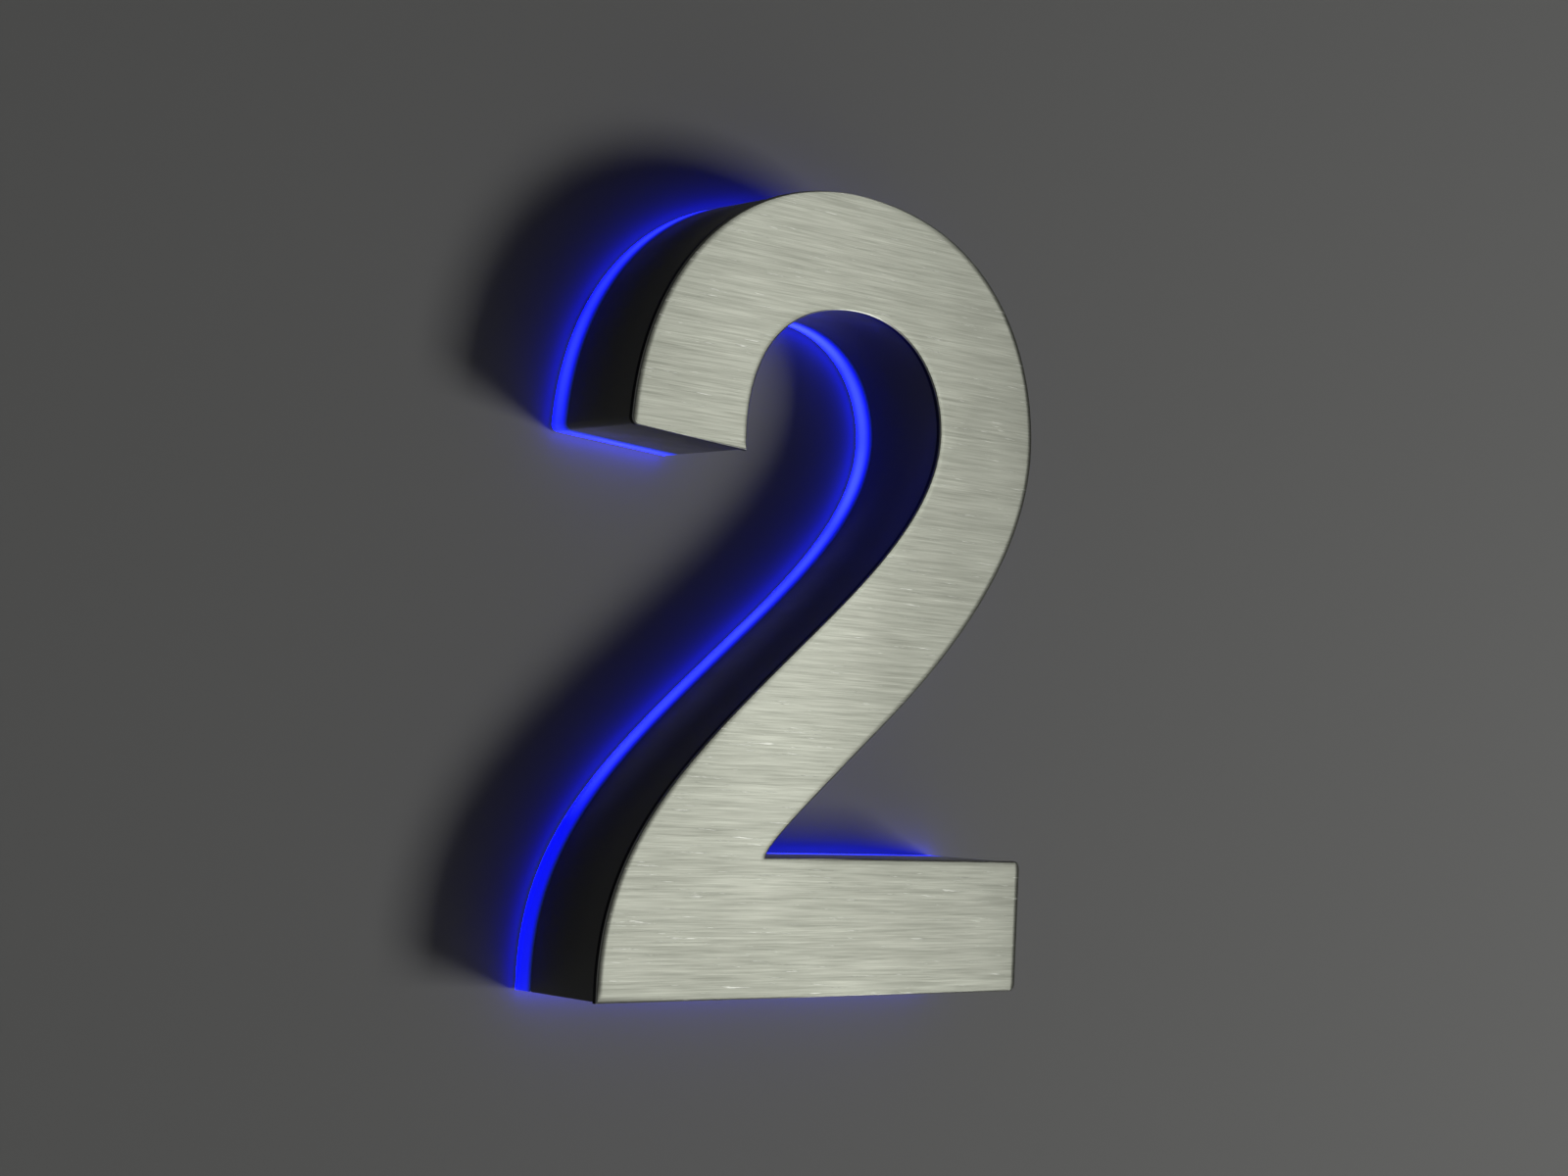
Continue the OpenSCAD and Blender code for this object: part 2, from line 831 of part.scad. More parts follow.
module cable_grommet() {
    color("#1a1a1b")
        stand([inlet_x, inlet_z])
            difference() {
                union() {
                    cylinder(d = inlet_d - 2 * fit_gap, h = panel_t);
                    translate([0, 0, panel_t])
                        cylinder(d = grommet_flange_d, h = grommet_flange_t);
                }
                translate([0, 0, -cut])
                    cylinder(d = grommet_bore, h = panel_t + grommet_flange_t + 2 * cut);
            }
}

face_plate();
outer_return();
foot_return();
inner_return();
corner_angles();
screw_bosses();
crown_set_screw();
left_set_screw();
right_set_screw();
back_panel();
clamp_blocks();
clamp_block_screws();
wall_studs();
stud_washers();
front_nuts();
rear_nuts();
module_tapes();
module_housings();
module_boards();
light_chips();
module_resistors();
module_lenses();
positive_wires();
negative_wires();
terminal_body();
terminal_cages();
terminal_screws();
cable_grommet();
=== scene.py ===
"""Looks of a backlit numeral sign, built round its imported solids.

Sizes in the classes are millimetres. The numeral's own plane has its zero at the left end of
the base, and the frame has its zero midway between the wall studs, on the wall's surface.
"""

import json
import logging
import math
from collections.abc import Iterable, Sequence
from dataclasses import dataclass, field
from enum import Enum

import bmesh
import bpy
import numpy as np
from mathutils import Matrix, Vector

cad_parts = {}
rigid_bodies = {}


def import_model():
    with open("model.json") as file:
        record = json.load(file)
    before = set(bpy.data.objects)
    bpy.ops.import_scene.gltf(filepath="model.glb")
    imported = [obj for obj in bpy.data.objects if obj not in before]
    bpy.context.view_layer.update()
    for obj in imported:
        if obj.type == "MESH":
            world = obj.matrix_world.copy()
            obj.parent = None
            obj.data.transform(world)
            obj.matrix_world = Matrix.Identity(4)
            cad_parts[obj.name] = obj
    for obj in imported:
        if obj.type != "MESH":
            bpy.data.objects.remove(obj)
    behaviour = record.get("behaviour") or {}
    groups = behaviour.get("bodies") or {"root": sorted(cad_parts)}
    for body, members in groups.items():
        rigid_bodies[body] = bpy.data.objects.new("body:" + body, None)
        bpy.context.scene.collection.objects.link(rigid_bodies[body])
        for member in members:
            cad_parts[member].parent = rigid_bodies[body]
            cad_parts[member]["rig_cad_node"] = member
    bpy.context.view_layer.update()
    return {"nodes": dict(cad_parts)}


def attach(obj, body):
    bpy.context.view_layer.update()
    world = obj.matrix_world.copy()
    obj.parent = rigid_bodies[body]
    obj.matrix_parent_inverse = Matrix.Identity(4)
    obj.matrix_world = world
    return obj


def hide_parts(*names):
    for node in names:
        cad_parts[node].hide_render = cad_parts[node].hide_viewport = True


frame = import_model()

LOG = logging.getLogger("numeral")
MM = 0.001
THREAD_DEPTH = 0.54
Triple = tuple[float, float, float]
Colour = Triple
Flat = tuple[float, float]
Socket = bpy.types.NodeSocket


class Body(str, Enum):
    """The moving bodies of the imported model."""

    BACK = "back"
    SHELL = "shell"
    CROWN_SCREW = "crown_screw"
    LEFT_SCREW = "left_screw"
    RIGHT_SCREW = "right_screw"


class Section(Enum):
    """Shape of a turned ring."""

    ROUND = 0
    HEX = 6

    def spread(self, angle: float) -> float:
        """Radius at an angle, for an inner radius of one.

        Args:
            angle: in radians, from a corner.

        Returns:
            The radius there.
        """
        if self is Section.ROUND:
            return 1.0
        half = math.pi / self.value
        return 1.0 / math.cos((angle + half) % (2 * half) - half)


# Forms


def ring_at(radius: float, z: float, section: Section = Section.ROUND, sides: int = 36) -> list[tuple]:
    """One ring of a turned piece.

    Args:
        radius: its inner radius.
        z: its height.
        section: its shape.
        sides: its points.

    Returns:
        Its points.
    """
    angles = [2 * math.pi * k / sides for k in range(sides)]
    reach = [radius * section.spread(a) for a in angles]
    return [(r * math.cos(a), r * math.sin(a), z) for r, a in zip(reach, angles)]


class Form:
    """Points and faces of a piece while it is made, in millimetres."""

    def __init__(self) -> None:
        """Start empty."""
        self.points: list[Vector] = []
        self.faces: list[tuple[int, ...]] = []

    def ring(self, points: Iterable[Sequence[float]]) -> list[int]:
        """Add points.

        Args:
            points: places, three numbers each.

        Returns:
            The new points' numbers.
        """
        start = len(self.points)
        self.points += [Vector(p) for p in points]
        return list(range(start, len(self.points)))

    def bridge(self, a: Sequence[int], b: Sequence[int], closed: bool = True) -> None:
        """Join two rings of equal count with four-sided faces.

        Args:
            a: one ring.
            b: the next ring.
            closed: whether the rings close on themselves.
        """
        n = len(a)
        for i in range(n if closed else n - 1):
            j = (i + 1) % n
            self.faces.append((a[i], a[j], b[j], b[i]))

    def skin(self, rings: Sequence[Iterable[Sequence[float]]], caps: bool = True) -> "Form":
        """Add rings joined in order.

        Args:
            rings: closed rings of equal count.
            caps: whether the first and last ring are filled.

        Returns:
            This form.
        """
        numbers = [self.ring(r) for r in rings]
        for a, b in zip(numbers, numbers[1:]):
            self.bridge(a, b)
        if caps:
            self.faces += [tuple(reversed(numbers[0])), tuple(numbers[-1])]
        return self

    def turned(self, profile: Sequence[tuple], sides: int = 48, loop: bool = False) -> "Form":
        """Add a turned piece round its own Z.

        Args:
            profile: radius, height and, where it isn't round, the section of each ring.
            sides: points of a ring.
            loop: whether the last ring joins the first, as round a bore.

        Returns:
            This form.
        """
        rings = []
        for radius, height, *shape in profile:
            section = shape[0] if shape else Section.ROUND
            rings.append(ring_at(radius, height, section, sides))
        return self.skin(rings + rings[:1] if loop else rings, caps=not loop)

    def bar(self, size: Sequence[float], radius: float, edge: float, base: float = 0.0) -> "Form":
        """Add a bar with round corners and softened ends, standing on its base.

        Args:
            size: length, width and height.
            radius: corner radius seen from above.
            edge: softening of the top and bottom edges.
            base: height of its foot.

        Returns:
            This form.
        """
        length, width, height = size
        rings = []
        for inset, z in ((edge, 0.0), (0.3 * edge, 0.3 * edge), (0.0, edge)):
            rings.append((inset, base + z))
        rings += [(inset, 2 * base + height - z) for inset, z in reversed(rings)]
        steps = 6

        def outline(inset: float) -> list[Flat]:
            """Corner arcs of the bar's plan.

            Args:
                inset: how far inside the full plan they lie.

            Returns:
                The plan's points.
            """
            r = max(radius - inset, 0.05)
            plan = []
            for k, (sx, sy) in enumerate(((1, 1), (-1, 1), (-1, -1), (1, -1))):
                cx, cy = sx * (length / 2 - inset - r), sy * (width / 2 - inset - r)
                for i in range(steps + 1):
                    a = math.pi / 2 * (k + i / steps)
                    plan.append((cx + r * math.cos(a), cy + r * math.sin(a)))
            return plan

        return self.skin([[(x, y, z) for x, y in outline(inset)] for inset, z in rings])

    def tube(self, path: Sequence[Vector], radius: float, sides: int = 16) -> None:
        """Add a round tube along a path that lies in a plane parallel to the wall.

        Args:
            path: its middle line.
            radius: its radius.
            sides: points of a ring.
        """
        rings = []
        for i, p in enumerate(path):
            along = (path[min(i + 1, len(path) - 1)] - path[max(i - 1, 0)]).normalized()
            out = Vector((0, 1, 0))
            across = along.cross(out).normalized()
            angles = [2 * math.pi * k / sides for k in range(sides)]
            rings.append([p + radius * (math.cos(a) * across + math.sin(a) * out) for a in angles])
        self.skin(rings)

    def put(self, other: "Form", places: Iterable[Matrix]) -> "Form":
        """Add copies of another form.

        Args:
            other: the form to copy.
            places: a placing matrix for each copy.

        Returns:
            This form.
        """
        for place in places:
            start = len(self.points)
            self.points += [place @ p for p in other.points]
            self.faces += [tuple(start + i for i in f) for f in other.faces]
        return self

    def piece(self, name: str, sharp: float = 35.0) -> bpy.types.Object:
        """Make the object, in metres.

        Args:
            name: the object's name.
            sharp: angle in degrees above which an edge stays crisp.

        Returns:
            The new object.
        """
        mesh = bpy.data.meshes.new(name)
        mesh.from_pydata([p * MM for p in self.points], [], self.faces)
        work = bmesh.new()
        work.from_mesh(mesh)
        bmesh.ops.remove_doubles(work, verts=work.verts, dist=2e-7)
        bmesh.ops.dissolve_degenerate(work, edges=work.edges, dist=1e-7)
        bmesh.ops.recalc_face_normals(work, faces=work.faces)
        work.to_mesh(mesh)
        work.free()
        thing = bpy.data.objects.new(name, mesh)
        bpy.context.scene.collection.objects.link(thing)
        shade(thing, sharp)
        return thing


def shade(thing: bpy.types.Object, sharp: float) -> None:
    """Shade an object smooth up to an angle in degrees."""
    thing.data.polygons.foreach_set("use_smooth", [True] * len(thing.data.polygons))
    thing.data.set_sharp_from_angle(angle=math.radians(sharp))


def settle_shape(thing: bpy.types.Object, sharp: float = 35.0) -> None:
    """Make an object's modifiers part of its mesh.

    Args:
        thing: the object.
        sharp: angle in degrees above which an edge stays crisp.
    """
    bpy.context.view_layer.update()
    shaped = thing.evaluated_get(bpy.context.evaluated_depsgraph_get())
    mesh = bpy.data.meshes.new_from_object(shaped)
    old = thing.data
    thing.modifiers.clear()
    thing.data = mesh
    bpy.data.meshes.remove(old)
    shade(thing, sharp)


def carve(thing: bpy.types.Object, cutter: Form, sharp: float = 35.0) -> None:
    """Cut holes in an object.

    Args:
        thing: the object.
        cutter: the holes' form.
        sharp: angle in degrees above which an edge stays crisp.
    """
    tool = cutter.piece("cutter")
    cut = thing.modifiers.new("holes", "BOOLEAN")
    cut.operation = "DIFFERENCE"
    cut.solver = "EXACT"
    cut.object = tool
    settle_shape(thing, sharp)
    bpy.data.objects.remove(tool)


def soften(thing: bpy.types.Object, width: float, segments: int = 3, sharp: float = 35.0) -> None:
    """Round an object's crisp edges.

    Args:
        thing: the object.
        width: width of the rounding in millimetres.
        segments: steps of the rounding.
        sharp: angle in degrees above which an edge is rounded.
    """
    edge = thing.modifiers.new("edges", "BEVEL")
    edge.width = width * MM
    edge.segments = segments
    edge.limit_method = "ANGLE"
    edge.angle_limit = math.radians(sharp)
    settle_shape(thing, sharp)


def thread(radius: float, pitch: float, low: float, high: float, sides: int = 32) -> list[list[tuple]]:
    """Rows of a screw thread round Z, from its low to its high end.

    Args:
        radius: radius of the crests.
        pitch: rise of one turn.
        low: height of the low end.
        high: height of the high end.
        sides: points of one turn.

    Returns:
        Closed rows of points. The first and last row are plain circles at the root.
    """
    root = radius - THREAD_DEPTH * pitch
    crest = ((0.0, root), (0.14, root), (0.44, radius), (0.7, radius))
    rows = []
    for turn in range(-1, math.ceil((high - low) / pitch) + 1):
        for share, r in crest:
            row = []
            for k in range(sides):
                z = low + (turn + share + k / sides) * pitch
                if not low < z < high:
                    z, r_here = min(max(z, low), high), root
                else:
                    r_here = r
                angle = 2 * math.pi * k / sides
                row.append((r_here * math.cos(angle), r_here * math.sin(angle), z))
            rows.append(row)
    return rows


# The numeral's outline


def ray(degrees: float) -> np.ndarray:
    """Unit vector at an angle."""
    return np.array([math.cos(math.radians(degrees)), math.sin(math.radians(degrees))])


def right_of(v: np.ndarray) -> np.ndarray:
    """The vector turned a quarter to the right."""
    return np.stack([v[..., 1], -v[..., 0]], -1)


def bezier(curve: np.ndarray, t: float) -> np.ndarray:
    """Point of a cubic curve at a share of its run."""
    s = 1 - t
    return s**3 * curve[0] + 3 * s * s * t * curve[1] + 3 * s * t * t * curve[2] + t**3 * curve[3]


@dataclass(frozen=True)
class Rim:
    """The numeral's edge as a clockwise loop, with the places of its corners."""

    points: np.ndarray
    notch: int
    base: int

    def inset(self, depth: float) -> np.ndarray:
        """The loop moved inwards.

        Args:
            depth: how far.

        Returns:
            As many points as the loop has.
        """
        step = np.roll(self.points, -1, 0) - self.points
        after = right_of(step / np.linalg.norm(step, axis=1, keepdims=True))
        before = np.roll(after, 1, 0)
        return self.points + depth * (before + after) / (1 + (before * after).sum(1, keepdims=True))


@dataclass(frozen=True)
class Numeral:
    """The numeral's outline in its own plane."""

    height: float = 200.0
    width: float = 138.0
    foot: float = 34.0
    bowl_in: float = 2.0
    bowl_drop: float = 57.5
    bowl_stroke: float = 34.0
    crown_x: float = 70.5
    crown_stroke: float = 29.5
    counter_x: float = 71.0
    hook_x: float = 2.0
    hook_drop: float = 65.5
    hook_width: float = 35.5
    hook_fall: float = 2.5
    hook_lean: float = 88.5
    hook_in_lean: float = 94.5
    diagonal: Flat = (70.0, 75.0)
    diagonal_stroke: float = 32.8
    tilt: float = 40.0
    notch_x: float = 49.5
    notch_lean: float = -100.0
    base_straight: float = 4.0
    corner: float = 2.0
    zero: Flat = (70.0, 92.0)

    def curves(self) -> tuple[list[np.ndarray], list[np.ndarray]]:
        """Curves of the outer edge and of the inner edge.

        Returns:
            Four cubic curves for each edge, from the hook on.
        """
        hook = np.array([self.hook_x, self.height - self.hook_drop])
        hook_in = hook + (self.hook_width, -self.hook_fall)
        crown = (self.crown_x, self.height)
        counter = (self.counter_x, self.height - self.crown_stroke)
        bowl = np.array([self.width - self.bowl_in, self.height - self.bowl_drop])
        bowl_in = bowl - (self.bowl_stroke, 0)
        side = self.diagonal_stroke / 2 * right_of(ray(self.tilt))
        right, left = np.array(self.diagonal) + side, np.array(self.diagonal) - side
        notch, base_top = (self.notch_x, self.foot), (0.0, self.base_straight)
        down, fall = -90, self.tilt - 180

        def curve(p: Sequence, lean_p: float, a: float, q: Sequence, lean_q: float, b: float) -> np.ndarray:
            """A curve whose handles are shares of its chord.

            Args:
                p: its start.
                lean_p: its direction there in degrees.
                a: length of the handle there.
                q: its end.
                lean_q: its direction there in degrees.
                b: length of the handle there.

            Returns:
                Its four control points.
            """
            p, q = np.array(p, float), np.array(q, float)
            chord = np.linalg.norm(q - p)
            return np.array([p, p + ray(lean_p) * a * chord, q - ray(lean_q) * b * chord, q])

        outer = [
            curve(hook, self.hook_lean, 0.39, crown, 0, 0.43),
            curve(crown, 0, 0.55, bowl, down, 0.3),
            curve(bowl, down, 0.38, right, fall, 0.14),
            curve(right, fall, 0.6, notch, self.notch_lean, 0.08),
        ]
        inner = [
            curve(hook_in, self.hook_in_lean, 0.59, counter, 0, 0.32),
            curve(counter, 0, 0.48, bowl_in, down, 0.34),
            curve(bowl_in, down, 0.28, left, fall, 0.35),
            curve(left, fall, 0.47, base_top, down, 0.33),
        ]
        return outer, inner

    def bend(self, p: Sequence[float], a: float, b: float, steps: int) -> list[np.ndarray]:
        """Round of a bent corner that turns right.

        Args:
            p: the crisp corner.
            a: direction before it in degrees.
            b: direction after it.
            steps: steps of the round.

        Returns:
            Its points.
        """
        turn = a - b
        centre = np.array(p) - ray(a) * self.corner * math.tan(math.radians(turn / 2))
        centre = centre + right_of(ray(a)) * self.corner
        return [centre - right_of(ray(a - turn * i / steps)) * self.corner for i in range(steps + 1)]

    def rim(self, steps: int = 56, corner_steps: int = 10) -> Rim:
        """The whole edge.

        Args:
            steps: steps along each curve.
            corner_steps: steps round each bent corner.

        Returns:
            The edge, clockwise from the hook's inner corner.
        """
        outer, inner = self.curves()
        shares = [i / steps for i in range(steps)]
        hook_rise = math.degrees(math.atan2(self.hook_fall, -self.hook_width))
        loop = [inner[0][0], *self.bend(outer[0][0], hook_rise, self.hook_lean, corner_steps)]
        first = next(t for t in shares if bezier(outer[0], t)[1] > loop[-1][1] + 0.2)
        loop += [bezier(outer[0], t) for t in shares if t >= first]
        loop += [bezier(c, t) for c in outer[1:] for t in shares]
        notch = len(loop)
        loop.append(outer[3][3])
        loop += self.bend((self.width, self.foot), 0, -90, corner_steps)
        loop += self.bend((self.width, 0), -90, -180, corner_steps)
        base = len(loop)
        loop += [np.zeros(2), inner[3][3]]
        loop += [bezier(c, t) for c in reversed(inner) for t in reversed(shares)][:-1]
        return Rim(np.array(loop), notch, base)

    def solid(self, p: Sequence[float], y: float) -> tuple[float, float, float]:
        """A place of the numeral's plane at a depth of the frame."""
        return (p[0] - self.zero[0], y, p[1] - self.zero[1])

    def stand(self, p: Sequence[float], y: float, heading: Sequence[float] = (1, 0)) -> Matrix:
        """Placing of a thing drawn with X along a heading and Z away from the wall.

        Args:
            p: its place in the numeral's plane.
            y: its depth in the frame.
            heading: where its X points in that plane.

        Returns:
            The placing matrix.
        """
        x, z = heading[0], heading[1]
        turn = Matrix(((x, -z, 0), (0, 0, -1), (z, x, 0))).to_4x4()
        return Matrix.Translation(self.solid(p, y)) @ turn

    def place(self, curve: int, t: float, shift: float = 0.0) -> tuple[np.ndarray, np.ndarray]:
        """Middle of the stroke at a share of a curve.

        Args:
            curve: number of the curve.
            t: share of its run.
            shift: how far to the right of the middle.

        Returns:
            The place and the stroke's heading there.
        """
        outer, inner = self.curves()

        def middle(s: float) -> np.ndarray:
            """Middle of the stroke."""
            return (bezier(outer[curve], s) + bezier(inner[curve], s)) / 2

        heading = middle(t + 0.01) - middle(t - 0.01)
        heading = heading / np.linalg.norm(heading)
        return middle(t) + right_of(heading) * shift, heading


# Finishes


class Recipe:
    """The node tree of one material while it is put together."""

    def __init__(self, name: str) -> None:
        """Start with a shader and its output.

        Args:
            name: the material's name.
        """
        self.material = bpy.data.materials.new(name)
        self.material.use_nodes = True
        self.tree = self.material.node_tree
        self.tree.nodes.clear()
        self.shader = self.add("BsdfPrincipled")
        self.add("OutputMaterial", {"Surface": self.shader.outputs[0]})
        self.coords = self.add("TexCoord").outputs["Object"]

    def add(self, kind: str, inputs: dict | None = None, **settings: object) -> bpy.types.Node:
        """Add a node.

        Args:
            kind: its type, without the usual prefix.
            inputs: a value or another node's output for each input.
            settings: the node's own options.

        Returns:
            The node.
        """
        node = self.tree.nodes.new("ShaderNode" + kind)
        for key, value in settings.items():
            setattr(node, key, value)
        for key, value in (inputs or {}).items():
            if isinstance(value, Socket):
                self.tree.links.new(value, node.inputs[key])
            else:
                node.inputs[key].default_value = value
        return node

    def set(self, **inputs: object) -> None:
        """Set or join the shader's inputs.

        Args:
            inputs: a value or socket for each, an underscore standing for a space.
        """
        for key, value in inputs.items():
            socket = self.shader.inputs[key.replace("_", " ")]
            if isinstance(value, Socket):
                self.tree.links.new(value, socket)
            else:
                socket.default_value = (*value, 1.0) if socket.type == "RGBA" else value

    def span(self, value: Socket, a: float, b: float, low: float = 0.0, high: float = 1.0) -> Socket:
        """Stretch a value from one range to another, held at its ends."""
        inputs = {"Value": value, "From Min": a, "From Max": b, "To Min": low, "To Max": high}
        return self.add("MapRange", inputs).outputs["Result"]

    def grain(
        self,
        size: Sequence[float],
        low: float = 0.0,
        high: float = 1.0,
        centre: float = 0.5,
        reach: float = 0.16,
        detail: float = 3.0,
        tilt: float = 0.0,
        seed: float = 0.0,
    ) -> Socket:
        """Noise with a feature size of its own along each axis.

        Args:
            size: feature size in millimetres along X, Y and Z.
            low: value of its hollows.
            high: value of its peaks.
            centre: noise level half way.
            reach: noise on each side of it that spans the values.
            detail: octaves.
            tilt: turn about Y in degrees.
            seed: shift that makes it another noise.

        Returns:
            The value's socket.
        """
        placed = self.add(
            "Mapping",
            {
                "Vector": self.coords,
                "Location": (seed, 0.7 * seed, 1.3 * seed),
                "Rotation": (0, math.radians(tilt), 0),
                "Scale": [s * MM for s in size],
            },
            vector_type="TEXTURE",
        )
        noise = self.add("TexNoise", {"Vector": placed.outputs[0], "Scale": 1.0, "Detail": detail})
        return self.span(noise.outputs["Fac"], centre - reach, centre + reach, low, high)

    def math(self, kind: str, a: object, b: object = 0.0) -> Socket:
        """Result of a sum of two values."""
        return self.add("Math", {0: a, 1: b}, operation=kind).outputs[0]

    def blend(self, *parts: tuple[Socket, float]) -> Socket:
        """Sum of weighted values.

        Args:
            parts: values, each with its weight.

        Returns:
            The sum's socket.
        """
        total = self.math("MULTIPLY", *parts[0])
        for value, weight in parts[1:]:
            total = self.math("ADD", total, self.math("MULTIPLY", value, weight))
        return total

    def mix(self, share: object, a: object, b: object) -> Socket:
        """Colour between two colours."""
        shades = [c if isinstance(c, Socket) else (*c, 1.0) for c in (a, b)]
        return self.add("Mix", {0: share, 6: shades[0], 7: shades[1]}, data_type="RGBA").outputs[2]

    def relief(self, *layers: tuple[Socket, float]) -> None:
        """Raise the surface.

        Args:
            layers: values, each with its depth in millimetres.
        """
        normal = None
        for height, depth in layers:
            inputs = {"Height": height, "Distance": depth * MM, "Strength": 1.0}
            if normal:
                inputs["Normal"] = normal
            normal = self.add("Bump", inputs).outputs[0]
        self.set(Normal=normal)

    def normal_part(self, axis: str) -> Socket:
        """One part of the surface's direction in the piece's own axes."""
        direction = self.add("TexCoord").outputs["Normal"]
        return self.add("SeparateXYZ", {0: direction}).outputs[axis]


@dataclass(frozen=True)
class Finish:
    """A finish for one of the record's material slots."""

    slot: str

    def compose(self, r: Recipe) -> None:
        """Put the material together."""
        raise NotImplementedError

    def dress(self, thing: bpy.types.Object) -> None:
        """Give a piece this finish.

        Args:
            thing: the piece.
        """
        name = f"{self.slot}_finish"
        material = bpy.data.materials.get(name)
        if material is None:
            recipe = Recipe(name)
            self.compose(recipe)
            material = recipe.material
        thing.data.materials.clear()
        thing.data.materials.append(material)


@dataclass(frozen=True)
class BrushedFace(Finish):
    """Stainless sheet brushed along X, with a painted highlight on its rounded edge."""

    light: Colour = (0.46, 0.472, 0.415)
    dark: Colour = (0.2, 0.209, 0.174)
    # Pale colour of the bright scratches, and the painted highlight on the rounded front edge.
    edge: Colour = (0.8, 0.81, 0.76)
    # Near-black colour given to the sheet's side wall.
    side_wall_dark: Colour = (0.03, 0.03, 0.032)
    line_size: Triple = (14, 8, 0.26)
    streak_size: Triple = (22, 8, 0.6)
    broad_size: Triple = (60, 8, 2.6)
    cloud_size: Triple = (38, 30, 70)
    scratch_size: Triple = (9, 5, 0.42)
    scratch_share: float = 0.55
    roughness: Flat = (0.5, 0.42)
    polish: float = 0.16

    def compose(self, r: Recipe) -> None:
        """Fine lines, broader streaks, single bright scratches, a slow cloud, a painted highlight on the
        rounded edge and a near-black side wall.

        Args:
            r: the recipe to fill.
        """
        fine = r.grain(self.line_size, detail=4, reach=0.2)
        streak = r.grain(self.streak_size, reach=0.16, tilt=0.6, seed=3.1)
        broad = r.grain(self.broad_size, reach=0.2, tilt=-0.4, seed=5.3)
        cloud = r.grain(self.cloud_size, detail=1, seed=8.7)
        scratch = r.grain(self.scratch_size, centre=0.7, reach=0.035, tilt=2.0, seed=1.9)
        tone = r.blend((r.span(fine, 0, 1, 0.1, 0.38), 1.0), (streak, 0.21), (broad, 0.11), (cloud, 0.14))
        sheet = r.mix(tone, self.dark, self.light)
        sheet = r.mix(r.math("MULTIPLY", scratch, self.scratch_share), sheet, self.edge)
        # Painted highlight: the rounded front edge is coloured pale, standing in for the bright line it
        # catches; its lower roughness below is a real polish.
        rounded = r.span(r.normal_part("Y"), -0.985, -0.8)
        # The sheet's side wall, between its front and back, is coloured near black.
        rim = r.span(r.math("ABSOLUTE", r.normal_part("Y")), 0.3, 0.55, 1.0, 0.0)
        satin = r.span(tone, 0, 1, *self.roughness)
        r.set(
            Base_Color=r.mix(rim, r.mix(rounded, sheet, self.edge), self.side_wall_dark),
            Metallic=1.0,
            Roughness=r.math("SUBTRACT", satin, r.math("MULTIPLY", rounded, self.polish)),
            Anisotropic=1.0,
            Anisotropic_Rotation=0.25,
            Tangent=r.add("Tangent", direction_type="RADIAL", axis="Z").outputs[0],
        )
        r.relief((fine, 0.005), (streak, 0.007), (scratch, 0.012))


@dataclass(frozen=True)
class BlackLacquer(Finish):
    """Satin black lacquer on hand-bent strip."""

    colour: Colour = (0.13, 0.132, 0.122)
    dust: Colour = (0.2, 0.2, 0.19)

    def compose(self, r: Recipe) -> None:
        """Orange peel, slow waves of the bending and a little dust.

        Args:
            r: the recipe to fill.
        """
        peel = r.grain((0.9, 0.9, 0.9), detail=2)
        wave = r.grain((22, 60, 22), detail=1, seed=4.0)
        dust = r.grain((0.5, 0.5, 0.5), centre=0.72, reach=0.03, seed=7.0)
        r.set(
            Base_Color=r.mix(r.math("MULTIPLY", dust, 0.5), self.colour, self.dust),
            Roughness=r.grain((9, 9, 9), 0.34, 0.46, seed=2.0),
            Specular_IOR_Level=0.4,
        )
        r.relief((peel, 0.006), (wave, 0.08))


@dataclass(frozen=True)
class LitAcrylic(Finish):
    """Frosted acrylic that glows, more so near each light module."""

    spots: tuple[Flat, ...] = ()
    pale: Colour = (0.009, 0.0145, 0.0)
    strength: float = 11.5
    bright_reach: float = 8.0
    reach: float = 30.0
    middle_y: float = -2.5
    front_y: Flat = (-6.2, -4.6)
    wall_y: Flat = (-1.8, -0.3)

    def compose(self, r: Recipe) -> None:
        """Glow from the modules' places, strongest by the wall, with a paler middle and frost.

        Args:
            r: the recipe to fill.
        """
        flat = r.add("VectorMath", {0: r.coords, 1: (1, 0, 1)}, operation="MULTIPLY").outputs[0]
        glow: object = 0.0
        for x, z in self.spots:
            gap = r.add("VectorMath", {0: flat, 1: (x * MM, 0, z * MM)}, operation="DISTANCE")
            near = r.span(gap.outputs["Value"], self.bright_reach * MM, self.reach * MM, 0.62, 0.0)
            glow = r.math("ADD", glow, near)
        glow = r.span(glow, 0.0, 1.0)
        depth = r.add("SeparateXYZ", {0: r.coords}).outputs["Y"]
        off_middle = r.math("ABSOLUTE", r.math("SUBTRACT", depth, self.middle_y * MM))
        middle = r.span(off_middle, 0.6 * MM, 2.6 * MM, 1.0, 0.0)
        front = r.span(depth, *(y * MM for y in self.front_y), 0.0, 0.12)
        wall_side = r.span(depth, *(y * MM for y in self.wall_y), 0.0, 0.9)
        flat_face = r.span(r.math("ABSOLUTE", r.normal_part("Y")), 0.5, 0.9, 1.0, 0.02)
        frost = r.math("MULTIPLY", r.grain((0.4, 0.4, 0.4), 0.9, 1.0), flat_face)
        level = r.math("MULTIPLY", r.span(glow, 0, 1, 0.65, 1.0), r.math("ADD", front, wall_side))
        blue = r.mix(r.math("MULTIPLY", level, frost), (0, 0, 0), (0, 0, 1))
        core = r.mix(r.math("MULTIPLY", r.math("MULTIPLY", middle, glow), frost), (0, 0, 0), self.pale)
        r.set(
            Base_Color=(0.16, 0.3, 0.8),
            Roughness=r.grain((1.2, 1.2, 1.2), 0.38, 0.5),
            Emission_Color=r.add("VectorMath", {0: blue, 1: core}, operation="ADD").outputs[0],
            Emission_Strength=self.strength,
        )
        r.relief((r.grain((0.25, 0.25, 0.25), seed=3.0), 0.006))


